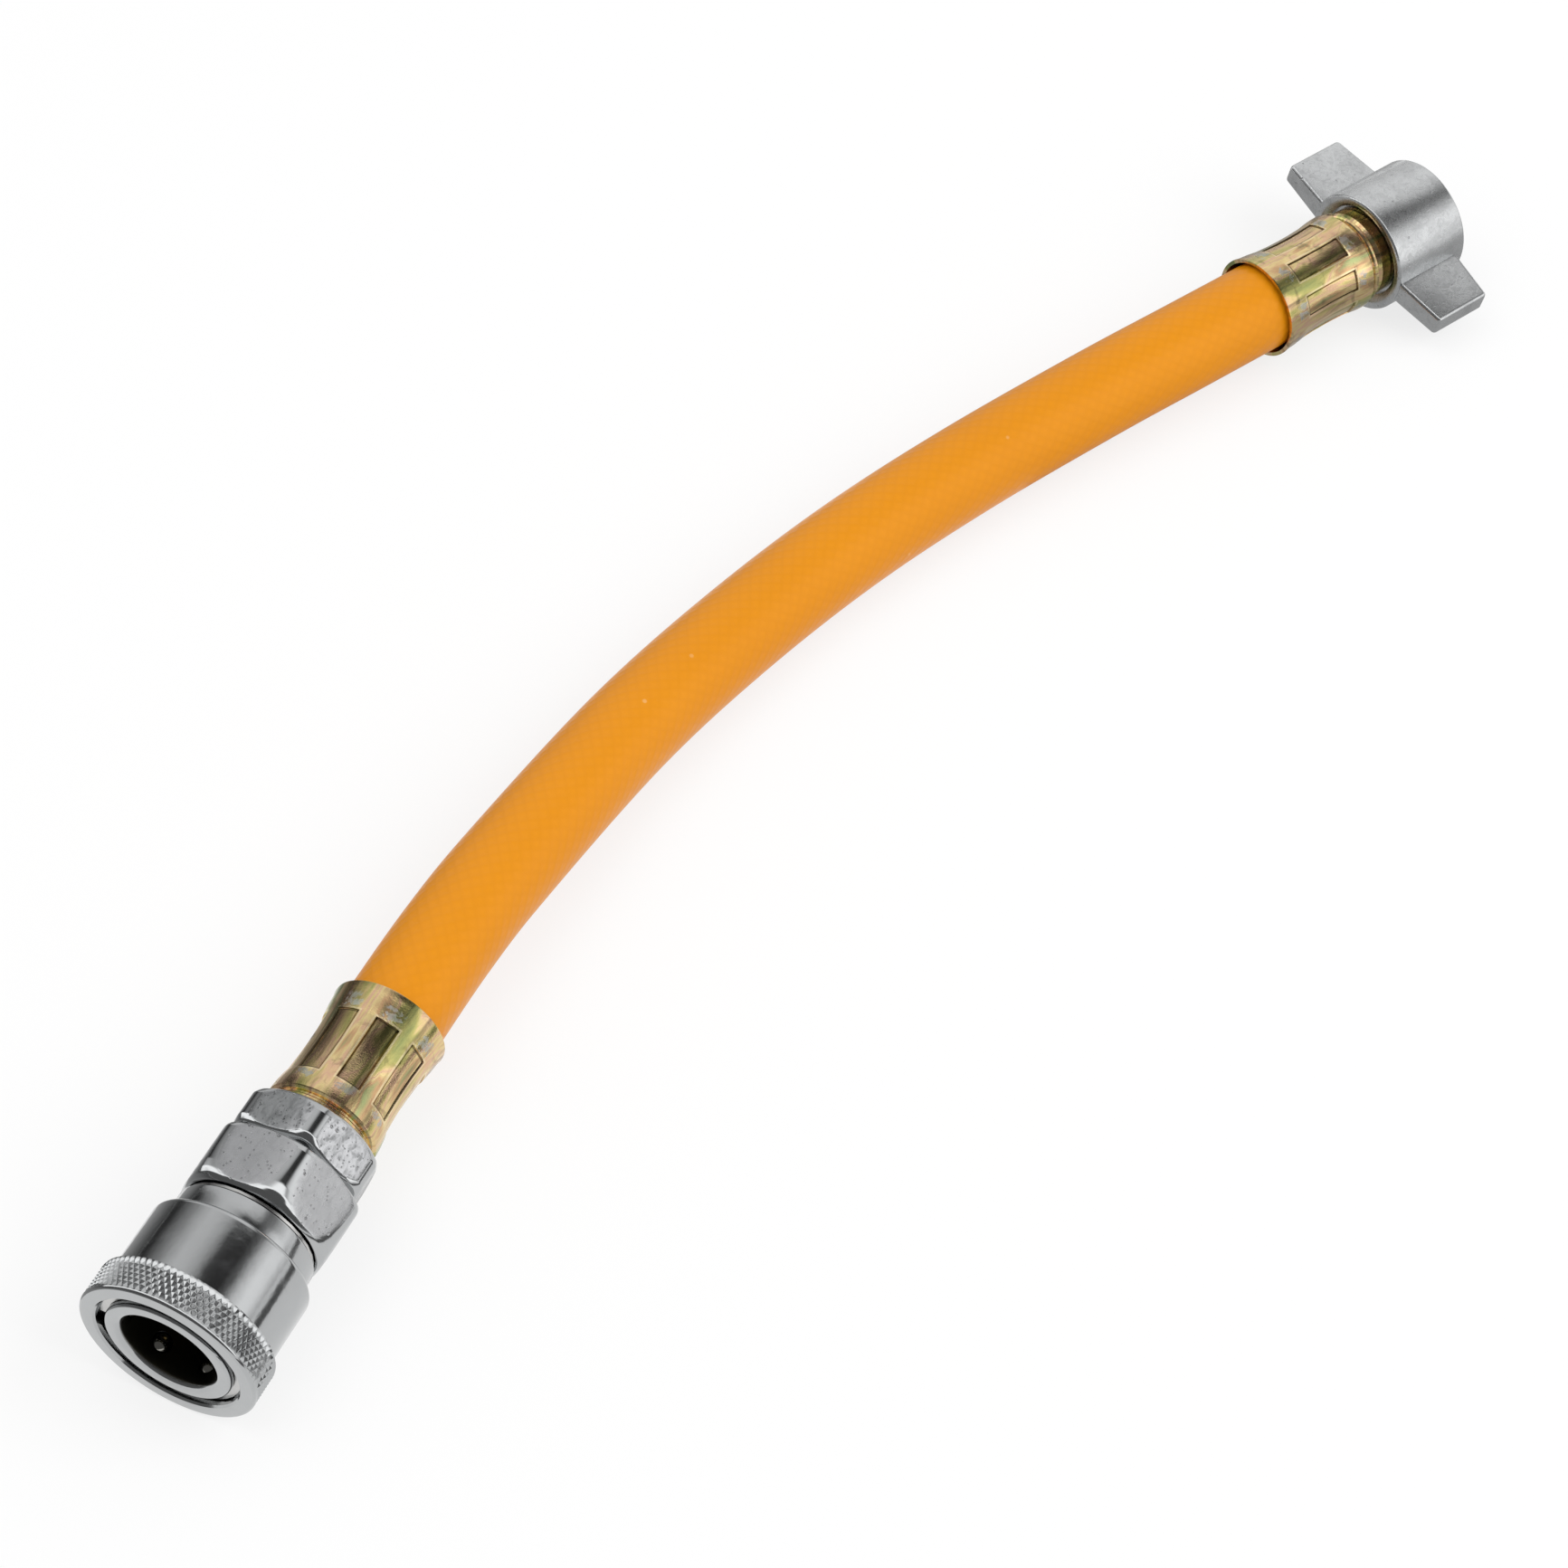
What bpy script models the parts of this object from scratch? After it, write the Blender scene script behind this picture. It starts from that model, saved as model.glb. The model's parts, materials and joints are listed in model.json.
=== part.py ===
"""Short air hose: a one-touch socket at one end and a swivelling wing nut at the other.

Every piece is its own object. Two empties carry the rigid ends: coupler_frame stands at the
centre of the coupler's mouth and wing_frame at the centre of the wing nut's rear face. Both
have their X axis along the fitting, so a turned piece is a profile of stations along X and
radii about X. Lengths are in metres and +Z is up. The floor is at z = 0.
"""

import math

import bmesh
import bpy
from mathutils import Matrix, Vector

MM = 0.001

# Clearances
SEAT_GAP = 0.3 * MM
SLIDE_GAP = 0.15 * MM
SPRING_GAP = 0.25 * MM

# Coupler sleeve, stations from the mouth
SLEEVE_LENGTH = 17.1 * MM
SLEEVE_RADIUS = 12.5 * MM
RING_RADIUS = 13.75 * MM
RING_WIDTH = 5.7 * MM
RING_EDGE = 0.5 * MM
SLEEVE_REAR_EDGE = 0.9 * MM
SLEEVE_WALL = 1.2 * MM
SLEEVE_MOUTH_WALL = 1.3 * MM
SLEEVE_LAND_LENGTH = 5.3 * MM
SLEEVE_TRAVEL = 3.6 * MM

# Coupler barrel
BARREL_FRONT = 0.1 * MM
BARREL_END = 20.8 * MM
BARREL_WALL = 2.5 * MM
PLUG_BORE_CHAMFER = 0.6 * MM
NECK_START = 16.6 * MM
NECK_STEP = 0.9 * MM
CHAMBER_WALL = 1.4 * MM
VALVE_SEAT_STATION = 13.2 * MM
VALVE_SEAT_WALL = 1.2 * MM
PLUG_SEAL_LENGTH = 2.4 * MM
PLUG_SEAL_GROOVE = 1.0 * MM
PLUG_SEAL_LIP = 0.8 * MM

# Snap ring and lock balls
SNAP_RING_STATION = 1.15 * MM
SNAP_RING_WIDTH = 0.8 * MM
SNAP_RING_HEIGHT = 1.05 * MM
SNAP_GROOVE_DEPTH = 0.8 * MM
SNAP_RING_GAP_DEG = 24.0
BALL_COUNT = 6
BALL_RADIUS = 1.6 * MM
BALL_STATION = 4.2 * MM
BALL_FIRST_DEG = -56.0
BALL_TRAVEL = 0.9 * MM
BALL_GAP = 0.2 * MM

# Valve
POPPET_HEAD_ROOM = 2.0 * MM
POPPET_HEAD_WIDTH = 1.3 * MM
POPPET_SEAT_LAP = 1.3 * MM
POPPET_NOSE_ROOM = 0.9 * MM
POPPET_NOSE_LENGTH = 3.1 * MM
POPPET_GUIDE_RADIUS = 2.9 * MM
POPPET_GUIDE_LENGTH = 3.7 * MM
VALVE_TRAVEL = 4.0 * MM
VALVE_SEAL_WIDTH = 0.7 * MM

# Springs
SLEEVE_SPRING_WIRE = 0.45 * MM
SLEEVE_SPRING_TURNS = 4
VALVE_SPRING_WIRE = 0.35 * MM
VALVE_SPRING_TURNS = 4
VALVE_SPRING_POCKET_RADIUS = 5.0 * MM

# Coupler adapter, the front hexagon
GASKET_THICKNESS = 0.4 * MM
GASKET_LAP = 1.7 * MM
ADAPTER_FLATS = 22.0 * MM
ADAPTER_HEX_LENGTH = 9.9 * MM
ADAPTER_HEX_ROLL_DEG = 84.8
ADAPTER_SPIGOT_LENGTH = 4.5 * MM
ADAPTER_SPIGOT_WALL = 1.2 * MM
ADAPTER_SEAT_STATION = 24.2 * MM
ADAPTER_SEAT_WALL = 0.9 * MM
ADAPTER_PORT_RADIUS = 3.4 * MM
HEX_FRONT_STEP = 0.65 * MM
HEX_FRONT_CHAMFER = 2.8 * MM
HEX_FRONT_BLEND = 5.1 * MM
HEX_REAR_CHAMFER = 0.7 * MM

# Hose stems
STEM_THREAD_RADIUS = 6.4 * MM
STEM_BORE_RADIUS = 2.4 * MM
STEM_FLATS = 20.3 * MM
STEM_HEX_LENGTH = 7.1 * MM
STEM_HEX_ROLL_DEG = 79.8
STEM_HEX_CHAMFER = 1.6 * MM
STEM_NECK_RADIUS = 4.7 * MM
BARB_RADIUS = 3.8 * MM
BARB_DEPTH = 0.5 * MM
BARB_PITCH = 3.6 * MM
BARB_COUNT = 5

# Ferrules, distances from the small end
FERRULE_LENGTH = 21.4 * MM
FERRULE_WALL = 0.9 * MM
FERRULE_END_WALL = 1.4 * MM
FERRULE_MOUTH_RADIUS = 8.95 * MM
FERRULE_BODY_RADIUS = 8.85 * MM
FERRULE_WAIST_RADIUS = 8.05 * MM
FERRULE_LIP = 0.15 * MM
BEAD_RADIUS = 8.5 * MM
BEAD_GROOVE_RADIUS = 8.1 * MM
CRIMP_START = 5.5 * MM
CRIMP_END = 16.5 * MM
CRIMP_BLEND = 1.6 * MM
CRIMP_SIDES = 8
CRIMP_RIDGE_DEG = 6.4
CRIMP_FOOT_DEG = 8.4
CRIMP_RIDGE_HEIGHT = 0.35 * MM

# Hose
HOSE_RADIUS = 7.75 * MM
HOSE_WALL = 2.75 * MM
HOSE_SETBACK = 0.6 * MM
HOSE_STEPS = 7

# Wing nut and its stem, stations from the nut's rear face
WING_RADIUS = 10.9 * MM
WING_LENGTH = 15.8 * MM
WING_EDGE = 0.5 * MM
WING_SOCKET_RADIUS = 8.0 * MM
WING_WEB_START = 1.8 * MM
WING_WEB_WALL = 2.2 * MM
WING_PLAY = 1.2 * MM
WING_RECESS_CHAMFER = 1.2 * MM
WING_REACH = 20.2 * MM
WING_ROOT_REAR = 0.3 * MM
WING_ROOT_FRONT = 14.1 * MM
WING_TIP_REAR = 1.3 * MM
WING_TIP_FRONT = 12.9 * MM
WING_ROOT_THICKNESS = 4.6 * MM
WING_TIP_THICKNESS = 4.0 * MM
WING_ROLL_DEG = 12.2
COLLAR_RADIUS = 7.9 * MM
WING_RECESS_RADIUS = COLLAR_RADIUS + 0.5 * MM
WING_NECK_RADIUS = 5.3 * MM
HEAD_RADIUS = 7.0 * MM
HEAD_WIDTH = 2.0 * MM
WING_FERRULE_STATION = -2.2 * MM
WING_GASKET_THICKNESS = 1.8 * MM
WING_GASKET_RADIUS = 7.1 * MM
WING_GASKET_HOLE = 3.4 * MM

# Where the wing end lies, from the centre of the coupler's mouth
WING_OFFSET_X = 281.6 * MM
WING_OFFSET_Y = -69.3 * MM
WING_HEADING_DEG = -27.2

# The free stretch of hose between the ferrules, chosen by eye: x, y from the mouth, z from the floor
HOSE_ROUTE = (
    (78.0, 0.0, 13.4),
    (95.0, -0.7, 12.2),
    (128.5, -3.7, 9.3),
    (155.5, -9.3, 7.95),
    (181.0, -17.5, 7.9),
    (205.0, -27.9, 8.3),
    (229.5, -41.0, 9.6),
    (247.0, -51.1, 10.6),
)

TURNED_STEPS = 40
SMALL_STEPS = 30
HOSE_BEVEL_RESOLUTION = 4

# Radii that follow from the sleeve, from the outside inwards
SLEEVE_MOUTH_RADIUS = SLEEVE_RADIUS - SLEEVE_MOUTH_WALL
BARREL_RADIUS = SLEEVE_RADIUS - SLEEVE_WALL - 2.0 * (SLEEVE_SPRING_WIRE + SPRING_GAP)
SNAP_RING_RADIUS = BARREL_RADIUS + SNAP_RING_HEIGHT
NECK_RADIUS = BARREL_RADIUS + NECK_STEP
PLUG_BORE_RADIUS = BARREL_RADIUS - BARREL_WALL
CHAMBER_RADIUS = BARREL_RADIUS - CHAMBER_WALL
POPPET_HEAD_RADIUS = CHAMBER_RADIUS - POPPET_HEAD_ROOM
VALVE_PORT_RADIUS = POPPET_HEAD_RADIUS - POPPET_SEAT_LAP
POPPET_NOSE_RADIUS = VALVE_PORT_RADIUS - POPPET_NOSE_ROOM

# Stations that follow from the sizes above
SNAP_RING_END = SNAP_RING_STATION + SNAP_RING_WIDTH
LAND_START = SNAP_RING_END + SEAT_GAP
BALL_RATIO = BALL_TRAVEL / SLEEVE_TRAVEL
LAND_RADIUS = BARREL_RADIUS + SLIDE_GAP
LAND_FRONT_RADIUS = LAND_RADIUS + BALL_RATIO * (BALL_STATION - LAND_START)
BALL_CENTRE_RADIUS = LAND_RADIUS - BALL_GAP - BALL_RADIUS
LAND_END = LAND_START + SLEEVE_LAND_LENGTH
GASKET_STATION = BARREL_END + SPRING_GAP
ADAPTER_FRONT = GASKET_STATION + GASKET_THICKNESS + SPRING_GAP
ADAPTER_END = ADAPTER_FRONT + ADAPTER_HEX_LENGTH
STEM_HEX_START = ADAPTER_END + SEAT_GAP
STEM_HEX_END = STEM_HEX_START + STEM_HEX_LENGTH
FERRULE_STATION = STEM_HEX_END + SEAT_GAP
FERRULE_MOUTH = FERRULE_STATION + FERRULE_LENGTH
HEAD_STATION = WING_WEB_START + WING_WEB_WALL + WING_PLAY + SEAT_GAP
WING_GASKET_STATION = HEAD_STATION + HEAD_WIDTH + SEAT_GAP


def clear_scene():
    for old in list(bpy.data.objects):
        bpy.data.objects.remove(old, do_unlink=True)


def material(name, colour, metallic, roughness):
    made = bpy.data.materials.new(name)
    made.use_nodes = True
    shader = made.node_tree.nodes["Principled BSDF"]
    shader.inputs["Base Color"].default_value = (*colour, 1.0)
    shader.inputs["Metallic"].default_value = metallic
    shader.inputs["Roughness"].default_value = roughness
    made.diffuse_color = (*colour, 1.0)
    return made


def frame_empty(name, location, heading):
    empty = bpy.data.objects.new(name, None)
    empty.location = location
    empty.rotation_euler.z = heading
    bpy.context.scene.collection.objects.link(empty)
    return empty


def add_object(name, mesh, parent, finish, smooth=True):
    piece = bpy.data.objects.new(name, mesh)
    piece.parent = parent
    bpy.context.scene.collection.objects.link(piece)
    if finish:
        mesh.materials.append(finish)
    if smooth and isinstance(mesh, bpy.types.Mesh):
        mesh.shade_smooth()
        mesh.set_sharp_from_angle(angle=math.radians(35))
    return piece


def finish_mesh(name, shape):
    """Merges what coincides, turns the faces outwards and returns the mesh."""
    bmesh.ops.remove_doubles(shape, verts=shape.verts, dist=1e-7)
    bmesh.ops.recalc_face_normals(shape, faces=shape.faces)
    mesh = bpy.data.meshes.new(name)
    shape.to_mesh(mesh)
    shape.free()
    return mesh


def turned(name, profile, steps=TURNED_STEPS):
    """The closed profile of (station, radius) points, spun about X."""
    shape = bmesh.new()
    corners = [shape.verts.new((station, 0.0, radius)) for station, radius in profile]
    edges = [shape.edges.new((corners[i - 1], corners[i])) for i in range(len(corners))]
    bmesh.ops.spin(
        shape,
        geom=corners + edges,
        axis=(1.0, 0.0, 0.0),
        cent=(0.0, 0.0, 0.0),
        angle=2.0 * math.pi,
        steps=steps,
    )
    return finish_mesh(name, shape)


def lofted(name, rings):
    """A closed body whose rings of points are joined in turn, the last one to the first."""
    shape = bmesh.new()
    rows = [[shape.verts.new(point) for point in ring] for ring in rings]
    for lower, upper in zip(rows, rows[1:] + rows[:1]):
        for i in range(len(lower)):
            shape.faces.new((lower[i - 1], lower[i], upper[i], upper[i - 1]))
    return finish_mesh(name, shape)


def add_boolean(piece, other, operation):
    cut = piece.modifiers.new(other.name, "BOOLEAN")
    cut.operation = operation
    cut.solver = "EXACT"
    cut.object = other


def helper(name, mesh, parent):
    """A cutter or a guide, which isn't a piece of the hose."""
    guide = add_object(name, mesh, parent, None, smooth=False)
    guide.hide_render = True
    guide.display_type = "WIRE"
    return guide


def hexagon_bar(name, parent, flats, start, end, roll_deg):
    """Hexagon bar stock along X, with a flat facing roll_deg from Y."""
    shape = bmesh.new()
    bmesh.ops.create_cone(
        shape,
        cap_ends=True,
        segments=6,
        radius1=flats / math.sqrt(3.0),
        radius2=flats / math.sqrt(3.0),
        depth=end - start,
    )
    lay = Matrix.Rotation(math.radians(90.0), 3, "Y")
    bmesh.ops.rotate(shape, verts=shape.verts, matrix=lay)
    flat_now = math.degrees(math.atan2(*reversed(flat_normal(shape))))
    roll = Matrix.Rotation(math.radians(roll_deg - flat_now), 3, "X")
    bmesh.ops.rotate(shape, verts=shape.verts, matrix=roll)
    bmesh.ops.translate(shape, verts=shape.verts, vec=(0.5 * (start + end), 0.0, 0.0))
    return helper(name, finish_mesh(name, shape), parent)


def flat_normal(shape):
    """The (y, z) direction of one of a bar's sides."""
    shape.normal_update()
    side = min(shape.faces, key=lambda face: abs(face.normal.x))
    return side.normal.y, side.normal.z


def smooth_route(points, start_heading, end_heading, count):
    """Points at equal shares of a Catmull-Rom curve through the route."""
    tangents = []
    for i in range(len(points)):
        before = points[max(i - 1, 0)]
        after = points[min(i + 1, len(points) - 1)]
        tangents.append(0.5 * (after - before))
    tangents[0] = start_heading * (points[1] - points[0]).length
    tangents[-1] = end_heading * (points[-1] - points[-2]).length
    found = []
    for step in range(count + 1):
        place = step / count * (len(points) - 1)
        i = min(int(place), len(points) - 2)
        t = place - i
        found.append(
            (2 * t**3 - 3 * t**2 + 1) * points[i]
            + (t**3 - 2 * t**2 + t) * tangents[i]
            + (3 * t**2 - 2 * t**3) * points[i + 1]
            + (t**3 - t**2) * tangents[i + 1]
        )
    return found


def coil_spring(name, parent, finish, start, end, radius, wire, turns):
    """A round-wire compression spring with closed, level ends."""
    steps_per_turn = 16
    total_turns = turns + 1
    curve = bpy.data.curves.new(name, "CURVE")
    curve.dimensions = "3D"
    curve.bevel_depth = wire
    curve.bevel_resolution = 1
    curve.use_fill_caps = True
    count = total_turns * steps_per_turn
    line = curve.splines.new("POLY")
    line.points.add(count)
    rise = end - start - 4.0 * wire
    for i, point in enumerate(line.points):
        angle = 2.0 * math.pi * i / steps_per_turn
        share = i / count
        eased = share + 0.5 / total_turns * math.sin(2.0 * math.pi * share) * -0.6
        station = start + 2.0 * wire + rise * eased
        point.co = (station, radius * math.cos(angle), radius * math.sin(angle), 1.0)
    return add_object(name, curve, parent, finish)


def make_sleeve(parent, finish):
    cavity = SLEEVE_RADIUS - SLEEVE_WALL
    profile = (
        (0.0, SLEEVE_MOUTH_RADIUS + 0.4 * MM),
        (0.4 * MM, SLEEVE_MOUTH_RADIUS),
        (LAND_START, SLEEVE_MOUTH_RADIUS),
        (LAND_START, LAND_FRONT_RADIUS),
        (BALL_STATION, LAND_RADIUS),
        (LAND_END, LAND_RADIUS),
        (LAND_END, cavity),
        (SLEEVE_LENGTH, cavity),
        (SLEEVE_LENGTH, SLEEVE_RADIUS - SLEEVE_REAR_EDGE),
        (SLEEVE_LENGTH - 0.3 * SLEEVE_REAR_EDGE, SLEEVE_RADIUS - 0.3 * SLEEVE_REAR_EDGE),
        (SLEEVE_LENGTH - SLEEVE_REAR_EDGE, SLEEVE_RADIUS),
        (RING_WIDTH + 0.2 * MM, SLEEVE_RADIUS),
        (RING_WIDTH, RING_RADIUS - RING_EDGE),
        (RING_WIDTH - 0.3 * RING_EDGE, RING_RADIUS - 0.3 * RING_EDGE),
        (RING_WIDTH - RING_EDGE, RING_RADIUS),
        (RING_EDGE, RING_RADIUS),
        (0.3 * RING_EDGE, RING_RADIUS - 0.3 * RING_EDGE),
        (0.0, RING_RADIUS - RING_EDGE),
    )
    return add_object("sleeve", turned("sleeve", profile), parent, finish)


def make_ball_hole(parent):
    """Opens the barrel wall for one ball, and narrows inwards so that the ball can't drop through."""
    seat = BALL_RADIUS - 0.18 * MM
    hole = BALL_RADIUS + BALL_GAP
    profile = (
        (PLUG_BORE_RADIUS - 0.4 * MM, 0.0),
        (PLUG_BORE_RADIUS - 0.4 * MM, seat),
        (BALL_CENTRE_RADIUS, hole),
        (BARREL_RADIUS + 0.4 * MM, hole),
        (BARREL_RADIUS + 0.4 * MM, 0.0),
    )
    return turned("ball_hole", profile, 14)


def ball_angles():
    return [math.radians(BALL_FIRST_DEG + 360.0 * i / BALL_COUNT) for i in range(BALL_COUNT)]


def radial_turn(angle):
    """Turns +X of a cutter to the radial direction at this angle from Y about X."""
    return Vector((1.0, 0.0, 0.0)).rotation_difference(
        Vector((0.0, math.cos(angle), math.sin(angle)))
    )


def make_barrel(parent, finish):
    seal_start = VALVE_SEAT_STATION - VALVE_SEAT_WALL - PLUG_SEAL_LENGTH - 2.0 * SEAT_GAP
    groove_floor = BARREL_RADIUS - SNAP_GROOVE_DEPTH
    bore_mouth = PLUG_BORE_RADIUS + PLUG_BORE_CHAMFER
    profile = (
        (BARREL_FRONT, bore_mouth),
        (BARREL_FRONT, BARREL_RADIUS - 0.4 * MM),
        (BARREL_FRONT + 0.3 * MM, BARREL_RADIUS),
        (SNAP_RING_STATION - SLIDE_GAP, BARREL_RADIUS),
        (SNAP_RING_STATION - SLIDE_GAP, groove_floor),
        (SNAP_RING_END + SLIDE_GAP, groove_floor),
        (SNAP_RING_END + SLIDE_GAP, BARREL_RADIUS),
        (NECK_START, BARREL_RADIUS),
        (NECK_START, NECK_RADIUS),
        (BARREL_END - 0.4 * MM, NECK_RADIUS),
        (BARREL_END, NECK_RADIUS - 0.4 * MM),
        (BARREL_END, CHAMBER_RADIUS),
        (VALVE_SEAT_STATION, CHAMBER_RADIUS),
        (VALVE_SEAT_STATION, VALVE_PORT_RADIUS),
        (VALVE_SEAT_STATION - VALVE_SEAT_WALL, VALVE_PORT_RADIUS),
        (VALVE_SEAT_STATION - VALVE_SEAT_WALL, PLUG_BORE_RADIUS + PLUG_SEAL_GROOVE),
        (seal_start, PLUG_BORE_RADIUS + PLUG_SEAL_GROOVE),
        (seal_start, PLUG_BORE_RADIUS),
        (BARREL_FRONT + PLUG_BORE_CHAMFER, PLUG_BORE_RADIUS),
    )
    barrel = add_object("coupler_barrel", turned("coupler_barrel", profile), parent, finish)
    hole_mesh = make_ball_hole(parent)
    for i, angle in enumerate(ball_angles()):
        cutter = helper(f"ball_hole_{i + 1}", hole_mesh, parent)
        cutter.location.x = BALL_STATION
        cutter.rotation_mode = "QUATERNION"
        cutter.rotation_quaternion = radial_turn(angle)
        add_boolean(barrel, cutter, "DIFFERENCE")
    return barrel


def make_plug_seal(parent, finish):
    start = VALVE_SEAT_STATION - VALVE_SEAT_WALL - PLUG_SEAL_LENGTH - SEAT_GAP
    end = start + PLUG_SEAL_LENGTH
    outside = PLUG_BORE_RADIUS + PLUG_SEAL_GROOVE - SEAT_GAP
    lip = PLUG_BORE_RADIUS - PLUG_SEAL_LIP
    middle = 0.5 * (start + end)
    profile = (
        (start, outside),
        (end, outside),
        (end, PLUG_BORE_RADIUS),
        (middle + 0.3 * PLUG_SEAL_LENGTH, lip),
        (middle - 0.3 * PLUG_SEAL_LENGTH, lip),
        (start, PLUG_BORE_RADIUS),
    )
    return add_object("plug_seal", turned("plug_seal", profile, SMALL_STEPS), parent, finish)


def make_snap_ring(parent, finish):
    """A split ring: the turned ring with a wedge cut out at its ends."""
    inside = BARREL_RADIUS - SNAP_GROOVE_DEPTH + SLIDE_GAP
    profile = (
        (SNAP_RING_STATION, inside),
        (SNAP_RING_STATION, SNAP_RING_RADIUS),
        (SNAP_RING_END, SNAP_RING_RADIUS),
        (SNAP_RING_END, inside),
    )
    ring = add_object("snap_ring", turned("snap_ring", profile), parent, finish)
    shape = bmesh.new()
    bmesh.ops.create_cube(shape, size=1.0)
    opening = 2.0 * BARREL_RADIUS * math.sin(math.radians(0.5 * SNAP_RING_GAP_DEG))
    size = (3.0 * SNAP_RING_WIDTH, 4.0 * MM, opening)
    bmesh.ops.scale(shape, vec=size, verts=shape.verts)
    centre = (SNAP_RING_STATION + 0.5 * SNAP_RING_WIDTH, BARREL_RADIUS, 0.0)
    bmesh.ops.translate(shape, verts=shape.verts, vec=centre)
    split = helper("snap_ring_split", finish_mesh("snap_ring_split", shape), parent)
    add_boolean(ring, split, "DIFFERENCE")
    return ring


def make_balls(parent, finish):
    shape = bmesh.new()
    bmesh.ops.create_icosphere(shape, subdivisions=2, radius=BALL_RADIUS)
    mesh = finish_mesh("lock_ball", shape)
    for i, angle in enumerate(ball_angles()):
        ball = add_object(f"lock_ball_{i + 1}", mesh, parent, None)
        ball.location = (
            BALL_STATION,
            BALL_CENTRE_RADIUS * math.cos(angle),
            BALL_CENTRE_RADIUS * math.sin(angle),
        )
    mesh.materials.append(finish)


def make_poppet(parent, steel, rubber):
    seal_start = VALVE_SEAT_STATION + SEAT_GAP
    head_start = seal_start + VALVE_SEAL_WIDTH + SEAT_GAP
    head_end = head_start + POPPET_HEAD_WIDTH
    nose = VALVE_SEAT_STATION - POPPET_NOSE_LENGTH
    profile = (
        (nose, 0.0),
        (nose + 0.15 * MM, 0.45 * POPPET_NOSE_RADIUS),
        (nose + 0.6 * MM, 0.8 * POPPET_NOSE_RADIUS),
        (nose + 1.4 * MM, POPPET_NOSE_RADIUS),
        (head_start, POPPET_NOSE_RADIUS),
        (head_start, POPPET_HEAD_RADIUS),
        (head_end, POPPET_HEAD_RADIUS),
        (head_end, POPPET_GUIDE_RADIUS),
        (head_end + POPPET_GUIDE_LENGTH, POPPET_GUIDE_RADIUS),
        (head_end + POPPET_GUIDE_LENGTH, 0.0),
    )
    add_object("valve_poppet", turned("valve_poppet", profile, SMALL_STEPS), parent, steel)
    inside = POPPET_NOSE_RADIUS + SEAT_GAP
    seal = (
        (seal_start, inside),
        (seal_start + 0.2 * MM, POPPET_HEAD_RADIUS),
        (seal_start + VALVE_SEAL_WIDTH, POPPET_HEAD_RADIUS),
        (seal_start + VALVE_SEAL_WIDTH, inside),
    )
    add_object("valve_seal", turned("valve_seal", seal, SMALL_STEPS), parent, rubber)
    return head_end


def make_body_gasket(parent, finish):
    start = GASKET_STATION
    end = GASKET_STATION + GASKET_THICKNESS
    inside = CHAMBER_RADIUS + 0.1 * MM
    outside = inside + GASKET_LAP
    profile = ((start, inside), (start, outside), (end, outside), (end, inside))
    mesh = turned("body_gasket", profile, SMALL_STEPS)
    return add_object("body_gasket", mesh, parent, finish)


def make_adapter(parent, finish):
    """Hexagon bar with both ends turned down and chamfered, bored for the valve and the stem."""
    flat = 0.5 * ADAPTER_FLATS
    corner = ADAPTER_FLATS / math.sqrt(3.0) + 0.05 * MM
    rise = corner - flat
    spigot = CHAMBER_RADIUS - SEAT_GAP
    spigot_bore = spigot - ADAPTER_SPIGOT_WALL
    socket = STEM_THREAD_RADIUS + SEAT_GAP
    front = ADAPTER_FRONT
    pocket_start = ADAPTER_SEAT_STATION - 2.2 * MM
    profile = (
        (front - ADAPTER_SPIGOT_LENGTH, spigot_bore),
        (front - ADAPTER_SPIGOT_LENGTH, spigot - 0.4 * MM),
        (front - ADAPTER_SPIGOT_LENGTH + 0.4 * MM, spigot),
        (front, spigot),
        (front, flat - 0.25 * MM),
        (front + HEX_FRONT_STEP, flat + 0.3 * rise),
        (front + 0.5 * HEX_FRONT_CHAMFER, flat + 0.55 * rise),
        (front + HEX_FRONT_CHAMFER, flat + 0.78 * rise),
        (front + HEX_FRONT_BLEND, flat + 0.93 * rise),
        (ADAPTER_END - HEX_REAR_CHAMFER, corner),
        (ADAPTER_END - 0.3 * HEX_REAR_CHAMFER, corner - 0.25 * rise),
        (ADAPTER_END, flat + 0.1 * rise),
        (ADAPTER_END, socket + 0.5 * MM),
        (ADAPTER_END - 0.5 * MM, socket),
        (ADAPTER_SEAT_STATION + ADAPTER_SEAT_WALL, socket),
        (ADAPTER_SEAT_STATION + ADAPTER_SEAT_WALL, ADAPTER_PORT_RADIUS),
        (ADAPTER_SEAT_STATION, ADAPTER_PORT_RADIUS),
        (ADAPTER_SEAT_STATION, VALVE_SPRING_POCKET_RADIUS),
        (pocket_start, VALVE_SPRING_POCKET_RADIUS),
        (pocket_start, spigot_bore),
    )
    adapter = add_object("coupler_adapter", turned("coupler_adapter", profile), parent, finish)
    span = (front - 2.0 * ADAPTER_SPIGOT_LENGTH, ADAPTER_END + 5.0 * MM)
    bar = hexagon_bar("adapter_bar", parent, ADAPTER_FLATS, *span, ADAPTER_HEX_ROLL_DEG)
    add_boolean(adapter, bar, "INTERSECT")
    return adapter


def barb_profile(start, direction):
    """The saw-tooth tail that grips the hose, from its root to its end."""
    points = []
    for i in range(BARB_COUNT):
        root = start + direction * i * BARB_PITCH
        points.append((root, BARB_RADIUS))
        points.append((root + direction * BARB_PITCH, BARB_RADIUS - BARB_DEPTH))
    end = points[-1]
    points.append((end[0] + direction * 0.3 * MM, STEM_BORE_RADIUS))
    return points


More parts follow.
